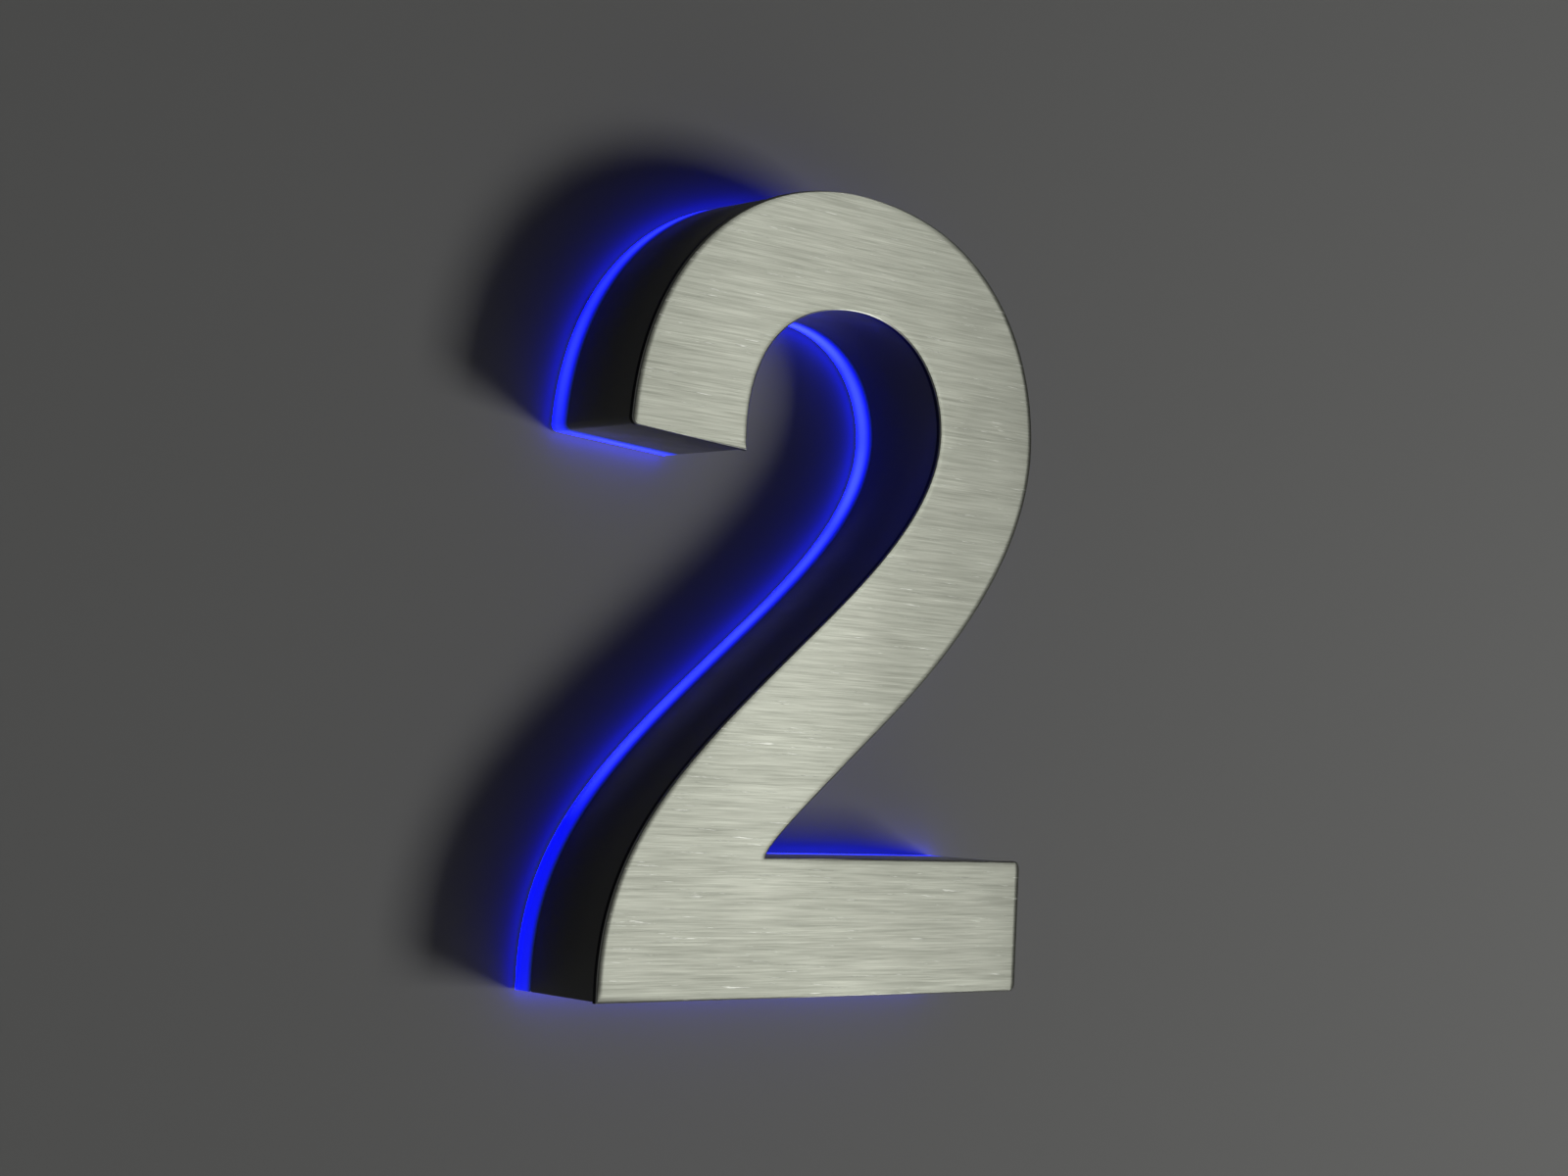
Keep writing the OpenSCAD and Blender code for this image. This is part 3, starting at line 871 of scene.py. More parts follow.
@dataclass(frozen=True)
class Metal(Finish):
    """Bare metal with tool marks, a cloudy stain and small scratches."""

    light: Colour = (0.7, 0.7, 0.7)
    dark: Colour = (0.5, 0.5, 0.5)
    roughness: Flat = (0.22, 0.34)
    marks: Triple = (0.15, 3.0, 0.15)
    cloud: float = 4.0

    def compose(self, r: Recipe) -> None:
        """Tool marks over a cloud of the two shades.

        Args:
            r: the recipe to fill.
        """
        marks = r.grain(self.marks, detail=2)
        cloud = r.grain((self.cloud,) * 3, detail=4, seed=2.0)
        tone = r.blend((marks, 0.4), (cloud, 0.6))
        nick = r.grain((0.6, 0.6, 0.6), centre=0.73, reach=0.02, seed=6.0)
        r.set(
            Base_Color=r.mix(tone, self.dark, self.light),
            Metallic=1.0,
            Roughness=r.span(tone, 0, 1, *self.roughness),
        )
        r.relief((marks, 0.004), (nick, 0.01))


@dataclass(frozen=True)
class Plastic(Finish):
    """Moulded plastic, rubber or foam: two shades, a skin texture and dust."""

    light: Colour = (0.8, 0.8, 0.8)
    dark: Colour = (0.7, 0.7, 0.7)
    roughness: Flat = (0.4, 0.55)
    texture: float = 0.3
    depth: float = 0.006

    def compose(self, r: Recipe) -> None:
        """A skin texture over a slow change of shade.

        Args:
            r: the recipe to fill.
        """
        skin = r.grain((self.texture,) * 3, detail=2)
        slow = r.grain((6, 6, 6), seed=4.0)
        tone = r.blend((skin, 0.4), (slow, 0.6))
        r.set(Base_Color=r.mix(tone, self.dark, self.light), Roughness=r.span(skin, 0, 1, *self.roughness))
        r.relief((skin, self.depth))


@dataclass(frozen=True)
class Board(Finish):
    """White solder mask over raised copper tracks."""

    mask: Colour = (0.72, 0.76, 0.72)
    track: Colour = (0.55, 0.6, 0.55)

    def compose(self, r: Recipe) -> None:
        """Tracks that show through the mask.

        Args:
            r: the recipe to fill.
        """
        tracks = r.add("TexBrick", {"Vector": r.coords, "Scale": 300.0, "Mortar Size": 0.03}, offset=0.3)
        edge = tracks.outputs["Fac"]
        r.set(
            Base_Color=r.mix(edge, self.mask, self.track),
            Roughness=r.grain((0.5, 0.5, 0.5), 0.3, 0.42),
        )
        r.relief((edge, 0.02))


@dataclass(frozen=True)
class Chip(Finish):
    """Lit blue light chip."""

    body: Colour = (0.7, 0.75, 0.8)
    glow: Colour = (0.08, 0.25, 1.0)

    def compose(self, r: Recipe) -> None:
        """Pale body whose top shines.

        Args:
            r: the recipe to fill.
        """
        facing = r.span(r.normal_part("Y"), -0.3, -0.8)
        r.set(
            Base_Color=r.mix(facing, self.body, self.glow),
            Roughness=r.grain((0.3, 0.3, 0.3), 0.2, 0.35),
            Emission_Color=self.glow,
            Emission_Strength=r.math("MULTIPLY", facing, r.grain((0.5, 0.5, 0.5), 4.0, 6.0)),
        )


@dataclass(frozen=True)
class Lens(Finish):
    """Clear moulded dome with faint frost at its foot."""

    tint: Colour = (0.85, 0.92, 1.0)
    glow: Colour = (0.05, 0.18, 1.0)

    def compose(self, r: Recipe) -> None:
        """Clear body that carries some of the chip's light.

        Args:
            r: the recipe to fill.
        """
        top = r.span(r.normal_part("Y"), -0.4, -1.0)
        r.set(
            Base_Color=self.tint,
            Roughness=r.grain((0.6, 0.6, 0.6), 0.06, 0.16),
            Transmission_Weight=0.75,
            Emission_Color=self.glow,
            Emission_Strength=r.math("MULTIPLY", top, 0.9),
        )
        r.relief((r.grain((1.4, 1.4, 1.4)), 0.01))


class Finishes:
    """The finishes of all slots, by name."""

    def __init__(self, spots: Sequence[Flat]) -> None:
        """Set each slot's finish.

        Args:
            spots: places of the light modules in the frame.
        """
        metals = (
            Metal("screw_steel", (0.74, 0.75, 0.76), (0.55, 0.56, 0.57)),
            Metal("plain_steel", (0.55, 0.54, 0.52), (0.3, 0.29, 0.28), (0.4, 0.55), (2.0, 0.3, 2.0), 3.0),
            Metal("block_aluminium", (0.8, 0.81, 0.82), (0.66, 0.67, 0.68), (0.3, 0.42), (5.0, 0.12, 5.0)),
            Metal("terminal_brass", (0.78, 0.58, 0.26), (0.56, 0.4, 0.16), (0.25, 0.4)),
        )
        wire = {"roughness": (0.34, 0.48), "texture": 0.5, "depth": 0.004}
        plastics = (
            Plastic("foam_tape", (0.76, 0.76, 0.74), (0.55, 0.55, 0.53), (0.8, 0.95), 0.25, 0.08),
            Plastic("white_plastic", (0.84, 0.85, 0.86), (0.76, 0.77, 0.78)),
            Plastic("resistor", (0.035, 0.035, 0.04), (0.02, 0.02, 0.022), (0.3, 0.45), 0.2, 0.004),
            Plastic("red_wire", (0.5, 0.025, 0.025), (0.38, 0.015, 0.018), **wire),
            Plastic("black_wire", (0.022, 0.022, 0.025), (0.012, 0.012, 0.014), **wire),
            Plastic("grommet_rubber", (0.02, 0.02, 0.021), (0.01, 0.01, 0.011), (0.55, 0.75), 0.3, 0.012),
        )
        lit = (LitAcrylic("halo_acrylic", tuple(spots)), Chip("light_chip"), Lens("lens"))
        painted = (BrushedFace("brushed_face"), BlackLacquer("black_return"), Board("board"))
        every: tuple[Finish, ...] = painted + lit + metals + plastics
        self.by_slot = {finish.slot: finish for finish in every}

    def settle(self, thing: bpy.types.Object, slot: str, body: Body, *nodes: str) -> None:
        """Dress a piece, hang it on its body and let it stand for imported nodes.

        Args:
            thing: the piece.
            slot: its material slot.
            body: the body that it moves with.
            nodes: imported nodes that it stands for.
        """
        self.by_slot[slot].dress(thing)
        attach(thing, body.value)
        if nodes:
            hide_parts(*nodes)
        LOG.info("%s: %s on %s, %d faces", thing.name, slot, body.value, len(thing.data.polygons))

    def keep(self, node: str, slot: str) -> None:
        """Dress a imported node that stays."""
        self.by_slot[slot].dress(frame["nodes"][node])
        LOG.info("%s: %s, as packed", node, slot)


# Sub-assemblies


@dataclass(frozen=True)
class Depths:
    """Places of the layers along the frame's Y."""

    face: float = -32.5
    strip_front: float = -31.0
    screw_axis: float = -15.0
    panel: float = -10.0
    strip_rear: float = -6.5
    step: float = -6.2
    stud_rear: float = 34.5
    lip: float = 0.3
    strip_in: float = 1.1
    plug_in: float = 1.4


@dataclass(frozen=True)
class Layout:
    """Places in the numeral's plane that the sub-assemblies share."""

    numeral: Numeral = Numeral()
    depths: Depths = Depths()
    studs: tuple[Flat, ...] = ((20, 17), (20, 167), (120, 17), (120, 167))
    set_screws: tuple[tuple[float, float, int], ...] = ((70.5, 198.9, 1), (36, 1.1, -1), (129.5, 1.1, -1))
    block_from_strip: float = 9.25
    lit_shift: float = 3.5
    crown_spot: Flat = (70.5, 178.4)
    foot_row: float = 18.5
    foot_spots: Flat = (54.0, 98.25)
    terminal: Flat = (77.0, 22.0)
    inlet: Flat = (77.0, 9.5)

    def modules(self) -> list[tuple[np.ndarray, np.ndarray]]:
        """Places of the light modules.

        Returns:
            Middle and heading of each, from the hook to the foot.
        """
        along = np.array((1.0, 0.0))
        place = self.numeral.place
        return [
            place(0, 0.17, self.lit_shift),
            place(0, 0.55, self.lit_shift),
            (np.array(self.crown_spot), along),
            place(1, 0.38, self.lit_shift),
            place(2, 0.04, self.lit_shift),
            *(place(curve, share) for curve, share in ((2, 0.37), (2, 0.7), (3, 0.07), (3, 0.43))),
            *((np.array((x, self.foot_row)), along) for x in self.foot_spots),
        ]

    def blocks(self) -> list[Flat]:
        """Middle of each clamp block."""
        return [(x, z - s * self.block_from_strip) for x, z, s in self.set_screws]

    def along_screw(self, x: float, z: float, way: int) -> Matrix:
        """Placing of a thing drawn along a set screw, its Z pointing out of the numeral."""
        turn = Matrix.Identity(4) if way > 0 else Matrix.Rotation(math.pi, 4, "X")
        return Matrix.Translation(self.numeral.solid((x, z), self.depths.screw_axis)) @ turn


@dataclass
class Shell:
    """Face plate, black strips, and what is welded inside them."""

    layout: Layout
    finishes: Finishes
    rim: Rim
    edge_round: float = 0.45
    crown_width: float = 1.4
    crown_drop: float = 0.08
    rear_break: float = 0.12
    rear_land: float = 0.7
    strip_round: float = 0.14
    tip_share: float = 0.8
    screw_hole: float = 2.05
    hole_sink: float = 0.35
    boss_radius: float = 4.0
    boss_height: float = 4.8
    boss_edge: float = 0.4
    boss_foot: float = -0.15
    bead: float = 0.8
    bead_blobs: int = 14
    bead_swell: float = 0.13

    def face_plate(self) -> None:
        """Sheet with a rounded front edge and a broken rear edge."""
        d, r, rear = self.layout.depths, self.edge_round, self.rear_break
        profile = [(self.rear_land, d.strip_front), (rear, d.strip_front), (0.0, d.strip_front - rear)]
        shoulder = d.face + self.crown_drop
        for k in range(8):
            a = math.pi / 2 * k / 7
            profile.append((r * (1 - math.cos(a)), shoulder + r * (1 - math.sin(a))))
        for k in range(1, 9):
            share = k / 8
            profile.append((r + self.crown_width * share, d.face + self.crown_drop * (1 - share) ** 2))
        form = Form().skin([[self.layout.numeral.solid(p, y) for p in self.rim.inset(i)] for i, y in profile])
        self.finishes.settle(form.piece("face_sheet", 40), "brushed_face", Body.SHELL, "face_plate")

    def strip(self, name: str, first: int, last: int, node: str, screws: Sequence[int]) -> None:
        """A bent strip with broken edges and mitred ends.

        Args:
            name: the piece's name.
            first: where on the rim it starts.
            last: where it ends.
            node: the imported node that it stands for.
            screws: the set screws that go through it.
        """
        d, r = self.layout.depths, self.strip_round
        outer, inner, front, rear = d.lip, d.strip_in, d.strip_front, d.strip_rear
        corners = ((outer, front), (outer, rear), (inner, rear), (inner, front))
        section: list[Flat] = []
        for k, (i, y) in enumerate(corners):
            ci, cy = i + (r if k in (0, 1) else -r), y + (r if k in (0, 3) else -r)
            start = (math.pi, math.pi / 2, 0.0, -math.pi / 2)[k] + math.pi / 2
            for s in (0, 0.5, 1):
                a = start - math.pi / 2 * s
                section.append((ci + r * math.cos(a), cy + r * math.sin(a)))
        columns = [self.rim.inset(i) for i, _ in section]
        count = len(self.rim.points)
        rings = [
            [Vector(self.layout.numeral.solid(c[i % count], y)) for c, (_, y) in zip(columns, section)]
            for i in range(first, last + 1)
        ]
        for end, following in ((0, 1), (-1, -2)):
            near = [a + (b - a).normalized() * r for a, b in zip(rings[end], rings[following])]
            middle = sum(near, Vector()) / len(near)
            tip = []
            for p in rings[end]:
                inward = Vector((middle.x - p.x, 0, middle.z - p.z)).normalized() * r * self.tip_share
                depth = r * self.tip_share if p.y < middle.y else -r * self.tip_share
                tip.append(p + inward + Vector((0, depth, 0)))
            rings[end] = near
            rings.insert(0 if end == 0 else len(rings), tip)
        thing = Form().skin(rings).piece(name)
        if screws:
            bore, mouth = self.screw_hole, self.screw_hole + self.hole_sink
            hole = Form().turned([(bore, -3), (bore, 0.75), (mouth, 1.1), (mouth, 3)], 40)
            places = [self.layout.along_screw(*self.layout.set_screws[k]) for k in screws]
            carve(thing, Form().put(hole, places))
        self.finishes.settle(thing, "black_return", Body.SHELL, node)

    def bosses(self) -> None:
        """Threaded bosses with a bead of weld round their feet."""
        r, h, bore = self.boss_radius, self.boss_height, self.screw_hole
        edge, foot = self.boss_edge, self.boss_foot
        profile = [(bore, -0.1), (bore, edge - h), (bore + edge, -h)]
        profile += [(r - edge, -h), (r, edge - h), (r, foot)]
        boss = Form().turned(profile, 48, loop=True)
        angles = [2 * math.pi * k / 112 for k in range(112)]
        rings = []
        for k in range(8):
            a = math.pi / 2 * k / 7
            out, up = self.bead * math.cos(a), self.bead * math.sin(a)
            ring = []
            for t in angles:
                swell = 1 + self.bead_swell * math.sin(self.bead_blobs * t + out)
                reach = r + out * swell
                ring.append((reach * math.cos(t), reach * math.sin(t), foot - up * swell))
            rings.append(ring)
        rings.append([((r - 0.2) * math.cos(t), (r - 0.2) * math.sin(t), foot) for t in angles])
        bead = Form().skin(rings + rings[:1], caps=False)
        places = [self.layout.along_screw(*s) for s in self.layout.set_screws]
        thing = Form().put(boss, places).piece("welded_bosses")
        self.finishes.settle(thing, "plain_steel", Body.SHELL, "screw_bosses")
        thing = Form().put(bead, places).piece("boss_weld_beads", 60)
        self.finishes.settle(thing, "plain_steel", Body.SHELL)

    def build(self) -> None:
        """Make the shell's pieces."""
        self.face_plate()
        rim = self.rim
        self.strip("outer_strip", 0, rim.notch, "outer_return", (0,))
        self.strip("foot_strip", rim.notch, rim.base, "foot_return", (1, 2))
        self.strip("inner_strip", rim.base, len(rim.points), "inner_return", ())
        self.bosses()
        self.finishes.keep("corner_angles", "plain_steel")


@dataclass
class Fasteners:
    """Set screws, studs, washers, nuts and clamp blocks."""

    layout: Layout
    finishes: Finishes
    thread_radius: float = 2.0
    pitch: float = 0.7
    tip_depth: float = 5.8
    shank_radius: float = 2.5
    stud_length: float = 50.0
    thread_length: float = 15.5
    barbs: int = 14
    barb_start: float = 3.0
    barb_pitch: float = 1.9
    barb_depth: float = 0.3
    nut_across: float = 7.0
    nut_height: float = 3.2
    washer_radius: float = 4.5
    washer: float = 0.8
    washer_roll: float = 0.25
    block_size: Triple = (10.0, 6.5, 10.0)

    def set_screws(self) -> None:
        """Socket set screws with a cup point."""
        root = self.thread_radius - THREAD_DEPTH * self.pitch
        cup = [ring_at(0.2, 0.5), ring_at(0.95, 0.02), ring_at(1.3, 0.0), ring_at(root, 0.4)]
        rows = thread(self.thread_radius, self.pitch, 0.55, 5.6, 36)
        rim = [ring_at(1.45, 6.0), ring_at(1.25, 6.0)]
        socket = [ring_at(1.0, 5.85, Section.HEX), ring_at(1.0, 3.9, Section.HEX), ring_at(0.1, 3.6)]
        screw = Form().skin(cup + rows + rim + socket)
        bodies = (Body.CROWN_SCREW, Body.LEFT_SCREW, Body.RIGHT_SCREW)
        for body, (x, z, way) in zip(bodies, self.layout.set_screws):
            place = self.layout.along_screw(x, z - way * self.tip_depth, way)
            thing = Form().put(screw, [place]).piece(f"{body.value}_piece")
            node = body.value.replace("_screw", "_set_screw")
            self.finishes.settle(thing, "screw_steel", body, node)

    def studs(self) -> None:
        """Studs with a barbed shank for the wall and a thread through the panel."""
        r, shank = self.shank_radius, self.stud_length - self.thread_length
        profile = [(1.7, 0.0), (r, 0.8)]
        for k in range(self.barbs):
            z = self.barb_start + self.barb_pitch * k
            profile += [(r, z), (r - self.barb_depth, z + 0.25), (r, z + 1.5)]
        profile += [(r, shank - 0.2), (r - 0.2, shank)]
        rings = [ring_at(radius, z, sides=32) for radius, z in profile]
        rings += thread(self.thread_radius, self.pitch, shank, self.stud_length - 0.5)
        rings.append(ring_at(1.2, self.stud_length, sides=32))
        self.spread(Form().skin(rings), "shouldered_studs", self.layout.depths.stud_rear, "wall_studs")

    def spread(self, form: Form, name: str, y: float, node: str) -> None:
        """Put a turned form at each stud.

        Args:
            form: the form.
            name: the piece's name.
            y: depth of its foot in the frame.
            node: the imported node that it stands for.
        """
        places = [self.layout.numeral.stand(p, y) for p in self.layout.studs]
        thing = Form().put(form, places).piece(name)
        self.finishes.settle(thing, "screw_steel", Body.BACK, node)

    def nuts_and_washers(self) -> None:
        """Washers with a rolled edge, and nuts with chamfered corners."""
        bore, r, t = self.thread_radius + 0.05, self.washer_radius, self.washer
        half = [(bore, 0.1), (bore + 0.1, 0), (r - self.washer_roll, 0), (r, self.washer_roll)]
        washer = Form().turned(half + [(p, t - z) for p, z in reversed(half)], 48, True)
        flat, h = self.nut_across / 2, self.nut_height
        half = [(bore, 0.45), (bore + 0.45, 0), (flat - 0.1, 0), (flat, 0.5, Section.HEX)]
        nut = Form().turned(half + [(p[0], h - p[1], *p[2:]) for p in reversed(half)], 72, True)
        panel = self.layout.depths.panel
        self.spread(washer, "rolled_washers", panel, "stud_washers")
        self.spread(nut, "panel_nuts", panel - t, "front_nuts")
        self.spread(nut, "recessed_nuts", -0.4, "rear_nuts")

    def clamp_blocks(self) -> None:
        """Chamfered blocks with the set screw's mark, and their countersunk screws."""
        places = [self.layout.numeral.stand(p, self.layout.depths.panel) for p in self.layout.blocks()]
        thing = Form().put(Form().bar(self.block_size, 0.4, 0.4), places).piece("milled_blocks")
        cuts = Form().put(Form().turned([(1.55, -1), (1.55, 6.2), (0.1, 7.0)], 40), places)
        reach = self.layout.block_from_strip - self.block_size[1] / 2
        marks = [self.layout.along_screw(x, z - way * reach, way) for x, z, way in self.layout.set_screws]
        cuts.put(Form().turned([(0.5, -0.12), (1.25, 0.12), (1.25, 1)], 32), marks)
        carve(thing, cuts)
        self.finishes.settle(thing, "block_aluminium", Body.BACK, "clamp_blocks")
        socket = [ring_at(0.1, 1.0), ring_at(0.74, 0.95, Section.HEX), ring_at(0.75, 0.06, Section.HEX)]
        head = [ring_at(r, z) for r, z in ((1.0, 0.0), (2.66, 0.0), (2.75, 0.12), (1.5, 1.6), (1.23, 1.9))]
        screw = Form().skin(socket + head + thread(1.5, 0.5, 2.0, 15.6, 36) + [ring_at(0.9, 16.0)])
        places = [self.layout.numeral.stand(p, 0) for p in self.layout.blocks()]
        thing = Form().put(screw, places).piece("countersunk_screws")
        self.finishes.settle(thing, "screw_steel", Body.BACK, "clamp_block_screws")

    def build(self) -> None:
        """Make the fasteners."""
        self.set_screws()
        self.studs()
        self.nuts_and_washers()
        self.clamp_blocks()


@dataclass
class Panel:
    """Stepped acrylic back with its holes, and the rubber grommet."""

    layout: Layout
    finishes: Finishes
    rim: Rim
    edge: float = 0.4
    root: float = 0.15
    plug_edge: float = 0.3
    pocket_mouth: float = 4.9
    pocket: float = 4.54
    pocket_depth: float = 3.6
    stud_bore: float = 2.05
    sink: float = 2.95
    sink_depth: float = 1.6
    screw_bore: float = 1.7
    inlet_mouth: float = 4.7
    inlet: float = 4.5
    mouth_depth: float = 0.3
    through: float = 12.0

    def profile(self) -> list[Flat]:
        """Section of the panel's edge.

        Returns:
            Inset and depth of each ring, from the wall to the plug's front.
        """
        d, e, plug, edge = self.layout.depths, self.edge, self.layout.depths.plug_in, self.plug_edge
        turn = [math.pi / 2 * k / 5 for k in range(6)]
        rings = [(d.lip + e + 0.2, 0.0)]
        rings += [(d.lip + e * (1 - math.sin(a)), -e * (1 - math.cos(a))) for a in turn]
        rings += [(d.lip + e * (1 - math.cos(a)), d.step + e * (1 - math.sin(a))) for a in turn]
        rings += [(plug - self.root, d.step), (plug, d.step - self.root), (plug, d.panel + edge)]
        return rings + [(plug + 0.09, d.panel + 0.09), (plug + edge, d.panel), (plug + edge + 0.2, d.panel)]

    def build(self) -> None:
        """Make the panel and the grommet."""
        numeral, d = self.layout.numeral, self.layout.depths
        form = Form().skin([[numeral.solid(p, y) for p in self.rim.inset(i)] for i, y in self.profile()])
        thing = form.piece("acrylic_panel")
        end, lead, deep = self.through, self.mouth_depth, self.pocket_depth
        pocket = [(self.pocket_mouth, -1), (self.pocket_mouth, 0), (self.pocket, lead)]
        pocket += [(self.pocket, deep), (self.stud_bore, deep), (self.stud_bore, end)]
        sink = [(self.sink, -1), (self.sink, 0), (self.screw_bore, self.sink_depth), (self.screw_bore, end)]
        inlet = [(self.inlet_mouth, -1), (self.inlet_mouth, 0), (self.inlet, lead), (self.inlet, end)]
        cuts = Form()
        for profile, sides, spots in (
            (pocket, 48, self.layout.studs),
            (sink, 48, self.layout.blocks()),
            (inlet, 64, (self.layout.inlet,)),
        ):
            cuts.put(Form().turned(profile, sides), [numeral.stand(p, 0) for p in spots])
        carve(thing, cuts)
        self.finishes.settle(thing, "halo_acrylic", Body.BACK, "back_panel")
        neck = [(2.5, 0.4), (2.9, 0), (4.2, 0), (4.45, 0.25), (4.45, 9.98)]
        flange = [(5.7, 10.0), (6.0, 10.3), (6.0, 10.9), (5.8, 11.35), (5.3, 11.5)]
        ring = Form().turned(neck + flange + [(3.0, 11.5), (2.65, 11.3), (2.5, 10.9)], 64, True)
        thing = Form().put(ring, [numeral.stand(self.layout.inlet, 0)]).piece("rubber_grommet")
        self.finishes.settle(thing, "grommet_rubber", Body.BACK, "cable_grommet")


@dataclass
class Lights:
    """Light modules, their wiring and the terminal block."""

    layout: Layout
    finishes: Finishes
    length: float = 22.0
    width: float = 10.0
    height: float = 4.8
    tape: float = 0.8
    case_wall: float = 1.0
    case_floor: float = 0.8
    board: float = 0.8
    board_gap: float = 0.2
    pitch: float = 11.0
    lens_radius: float = 3.0
    wire_radius: float = 0.8
    wire_pitch: float = 5.0
    wire_rise: float = 3.2
    terminal_length: float = 8.0
    terminal_width: float = 10.0
    terminal_height: float = 9.0
    places: list[Matrix] = field(default_factory=list)

    def spread(self, form: Form, name: str, slot: str, *nodes: str, carved: Form | None = None) -> None:
        """Make a form once and put it in every module.

        Args:
            form: the form, standing on the panel.
            name: the piece's name.
            slot: its material slot.
            nodes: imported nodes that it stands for.
            carved: holes cut in it first.
        """
        one = form.piece(name + "_one")
        if carved:
            carve(one, carved)
            soften(one, 0.12, 2)
        single = Form()
        single.ring([v.co / MM for v in one.data.vertices])
        single.faces = [tuple(p.vertices) for p in one.data.polygons]
        bpy.data.objects.remove(one)
        self.finishes.settle(Form().put(single, self.places).piece(name), slot, Body.BACK, *nodes)

    def modules(self) -> None:
        """Tape, housing, board, chips, resistor and lenses of each module."""
        length, width, height, tape = self.length, self.width, self.height, self.tape
        floor, inner = tape + self.case_floor, 2 * self.case_wall
        pads = Form().bar((length - 1, width - 1, tape), 1.5, 0.12)
        self.spread(pads, "foam_pads", "foam_tape", "module_tapes")
        at_chips = [Matrix.Translation((s * self.pitch / 2, 0, 0)) for s in (-1, 1)]
        well = Form().turned([(self.lens_radius, 3), (self.lens_radius, tape + height + 1)], 48)
        holes = Form().bar((length - inner, width - inner, height - 1.8), 0.7, 0.05, floor)
        case = Form().bar((length, width, height), 1.5, 0.4, tape)
        holes.put(well, at_chips)
        self.spread(case, "module_cases", "white_plastic", "module_housings", carved=holes)
        inner += 2 * self.board_gap
        board = Form().bar((length - inner, width - inner, self.board), 0.5, 0.06, floor)
        self.spread(board, "circuit_boards", "board", "module_boards")
        deck = floor + self.board
        chip = Form().bar((2.8, 2.8, 0.62), 0.25, 0.06, deck)
        dome_arc = (0, 0.4, 0.8, 1.2, 1.5)
        dome = Form().turned([(1.15 * math.cos(a), deck + 0.6 + 0.2 * math.sin(a)) for a in dome_arc], 32)
        pair = Form().put(chip, at_chips).put(dome, at_chips)
        self.spread(pair, "domed_chips", "light_chip", "light_chips")
        part = Form().bar((1.3, 1.15, 0.48), 0.1, 0.05, deck)
        self.spread(part, "chip_resistors", "resistor", "module_resistors")
        cap = Form().bar((0.34, 1.2, 0.5), 0.1, 0.05, deck)
        pad = Form().turned([(0.7, deck - 0.02), (0.55, deck + 0.25), (0.2, deck + 0.4)], 24)
        ends = Form().put(cap, [Matrix.Translation((s * 0.82, 0, 0)) for s in (-1, 1)])
        ends.put(pad, [Matrix.Translation((x * 8.6, y * 2.5, 0)) for x in (-1, 1) for y in (-1, 1)])
        self.spread(ends, "solder_joints", "plain_steel")
        r, foot = self.lens_radius - 0.05, tape + height - 1
        arc = [math.pi / 2 * k / 8 for k in range(8)]
        rise = [(r * math.cos(a), foot + 1 + 1.5 * math.sin(a)) for a in arc]
        lens = Form().turned([(r - 0.1, foot), (r, foot + 0.1)] + rise + [(0.2, foot + 2.49)], 40)
        self.spread(Form().put(lens, at_chips), "domed_lenses", "lens", "module_lenses")

    def stops(self) -> list[tuple[np.ndarray, np.ndarray, float, float]]:
        """Stops of the wiring.

        Returns:
            Middle, heading, length and wire spacing of each.
        """
        stops = [(p, h, self.length, self.wire_pitch) for p, h in self.layout.modules()]
        along = np.array((1.0, 0.0))
        block = (np.array(self.layout.terminal), along, self.terminal_length - 2, self.terminal_width / 2)
        return stops[:-1] + [block] + stops[-1:]

    def wires(self, hand: int, name: str, slot: str, node: str) -> None:
        """The wires on one hand of the modules.

        Args:
            hand: 1 on the right of the heading, -1 on the left.
            name: the piece's name.
            slot: its material slot.
            node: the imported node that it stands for.
        """
        form = Form()
        stops = self.stops()
        y = self.layout.depths.panel - self.wire_rise
        for (p, h, run, gap), (q, k, run_on, gap_on) in zip(stops, stops[1:]):
            start = p + h * run / 2 + right_of(h) * hand * gap / 2
            end = q - k * run_on / 2 + right_of(k) * hand * gap_on / 2
            pull = np.linalg.norm(end - start) * 0.4
            curve = np.array([start, start + h * pull, end - k * pull, end])
            path = [Vector(self.layout.numeral.solid(bezier(curve, t / 20), y)) for t in range(21)]
            form.tube(path, self.wire_radius)
        self.finishes.settle(form.piece(name), slot, Body.BACK, node)

    def terminal(self) -> None:
        """Two-pole terminal block with brass cages and slotted screws."""
        place = self.layout.numeral.stand(self.layout.terminal, self.layout.depths.panel)
        length, width, height = self.terminal_length, self.terminal_width, self.terminal_height
        floor, cage_w, cage_h = self.wire_rise - 2.2, 3.6, 4.4
        at_poles = [place @ Matrix.Translation((0, s * width / 4, 0)) for s in (-1, 1)]
        thing = Form().put(Form().bar((length, width, height), 0.6, 0.4), [place]).piece("terminal_case")
        cuts = Form().put(Form().bar((length + 2, cage_w, cage_h), 0.1, 0.05, floor), at_poles)
        cuts.put(Form().turned([(1.55, 3), (1.55, 8.6), (1.9, 9.1), (1.9, 10)], 32), at_poles)
        cuts.put(Form().bar((length + 2, 0.5, 2.0), 0.1, 0.05, height - 1.2), [place])
        carve(thing, cuts)
        soften(thing, 0.12, 2)
        self.finishes.settle(thing, "white_plastic", Body.BACK, "terminal_body")
        cage = Form().bar((length - 0.4, cage_w - 0.04, cage_h - 0.04), 0.4, 0.25, floor + 0.02)
        thing = Form().put(cage, at_poles).piece("brass_cages")
        along = Matrix.Translation((0, 0, self.wire_rise)) @ Matrix.Rotation(math.pi / 2, 4, "Y")
        half = [(1.2, -5), (1.2, -3.7), (1.0, -3.4)]
        way = Form().turned(half + [(r, -z) for r, z in reversed(half)], 32)
        drill = Form().turned([(1.3, self.wire_rise), (1.3, 8)], 32)
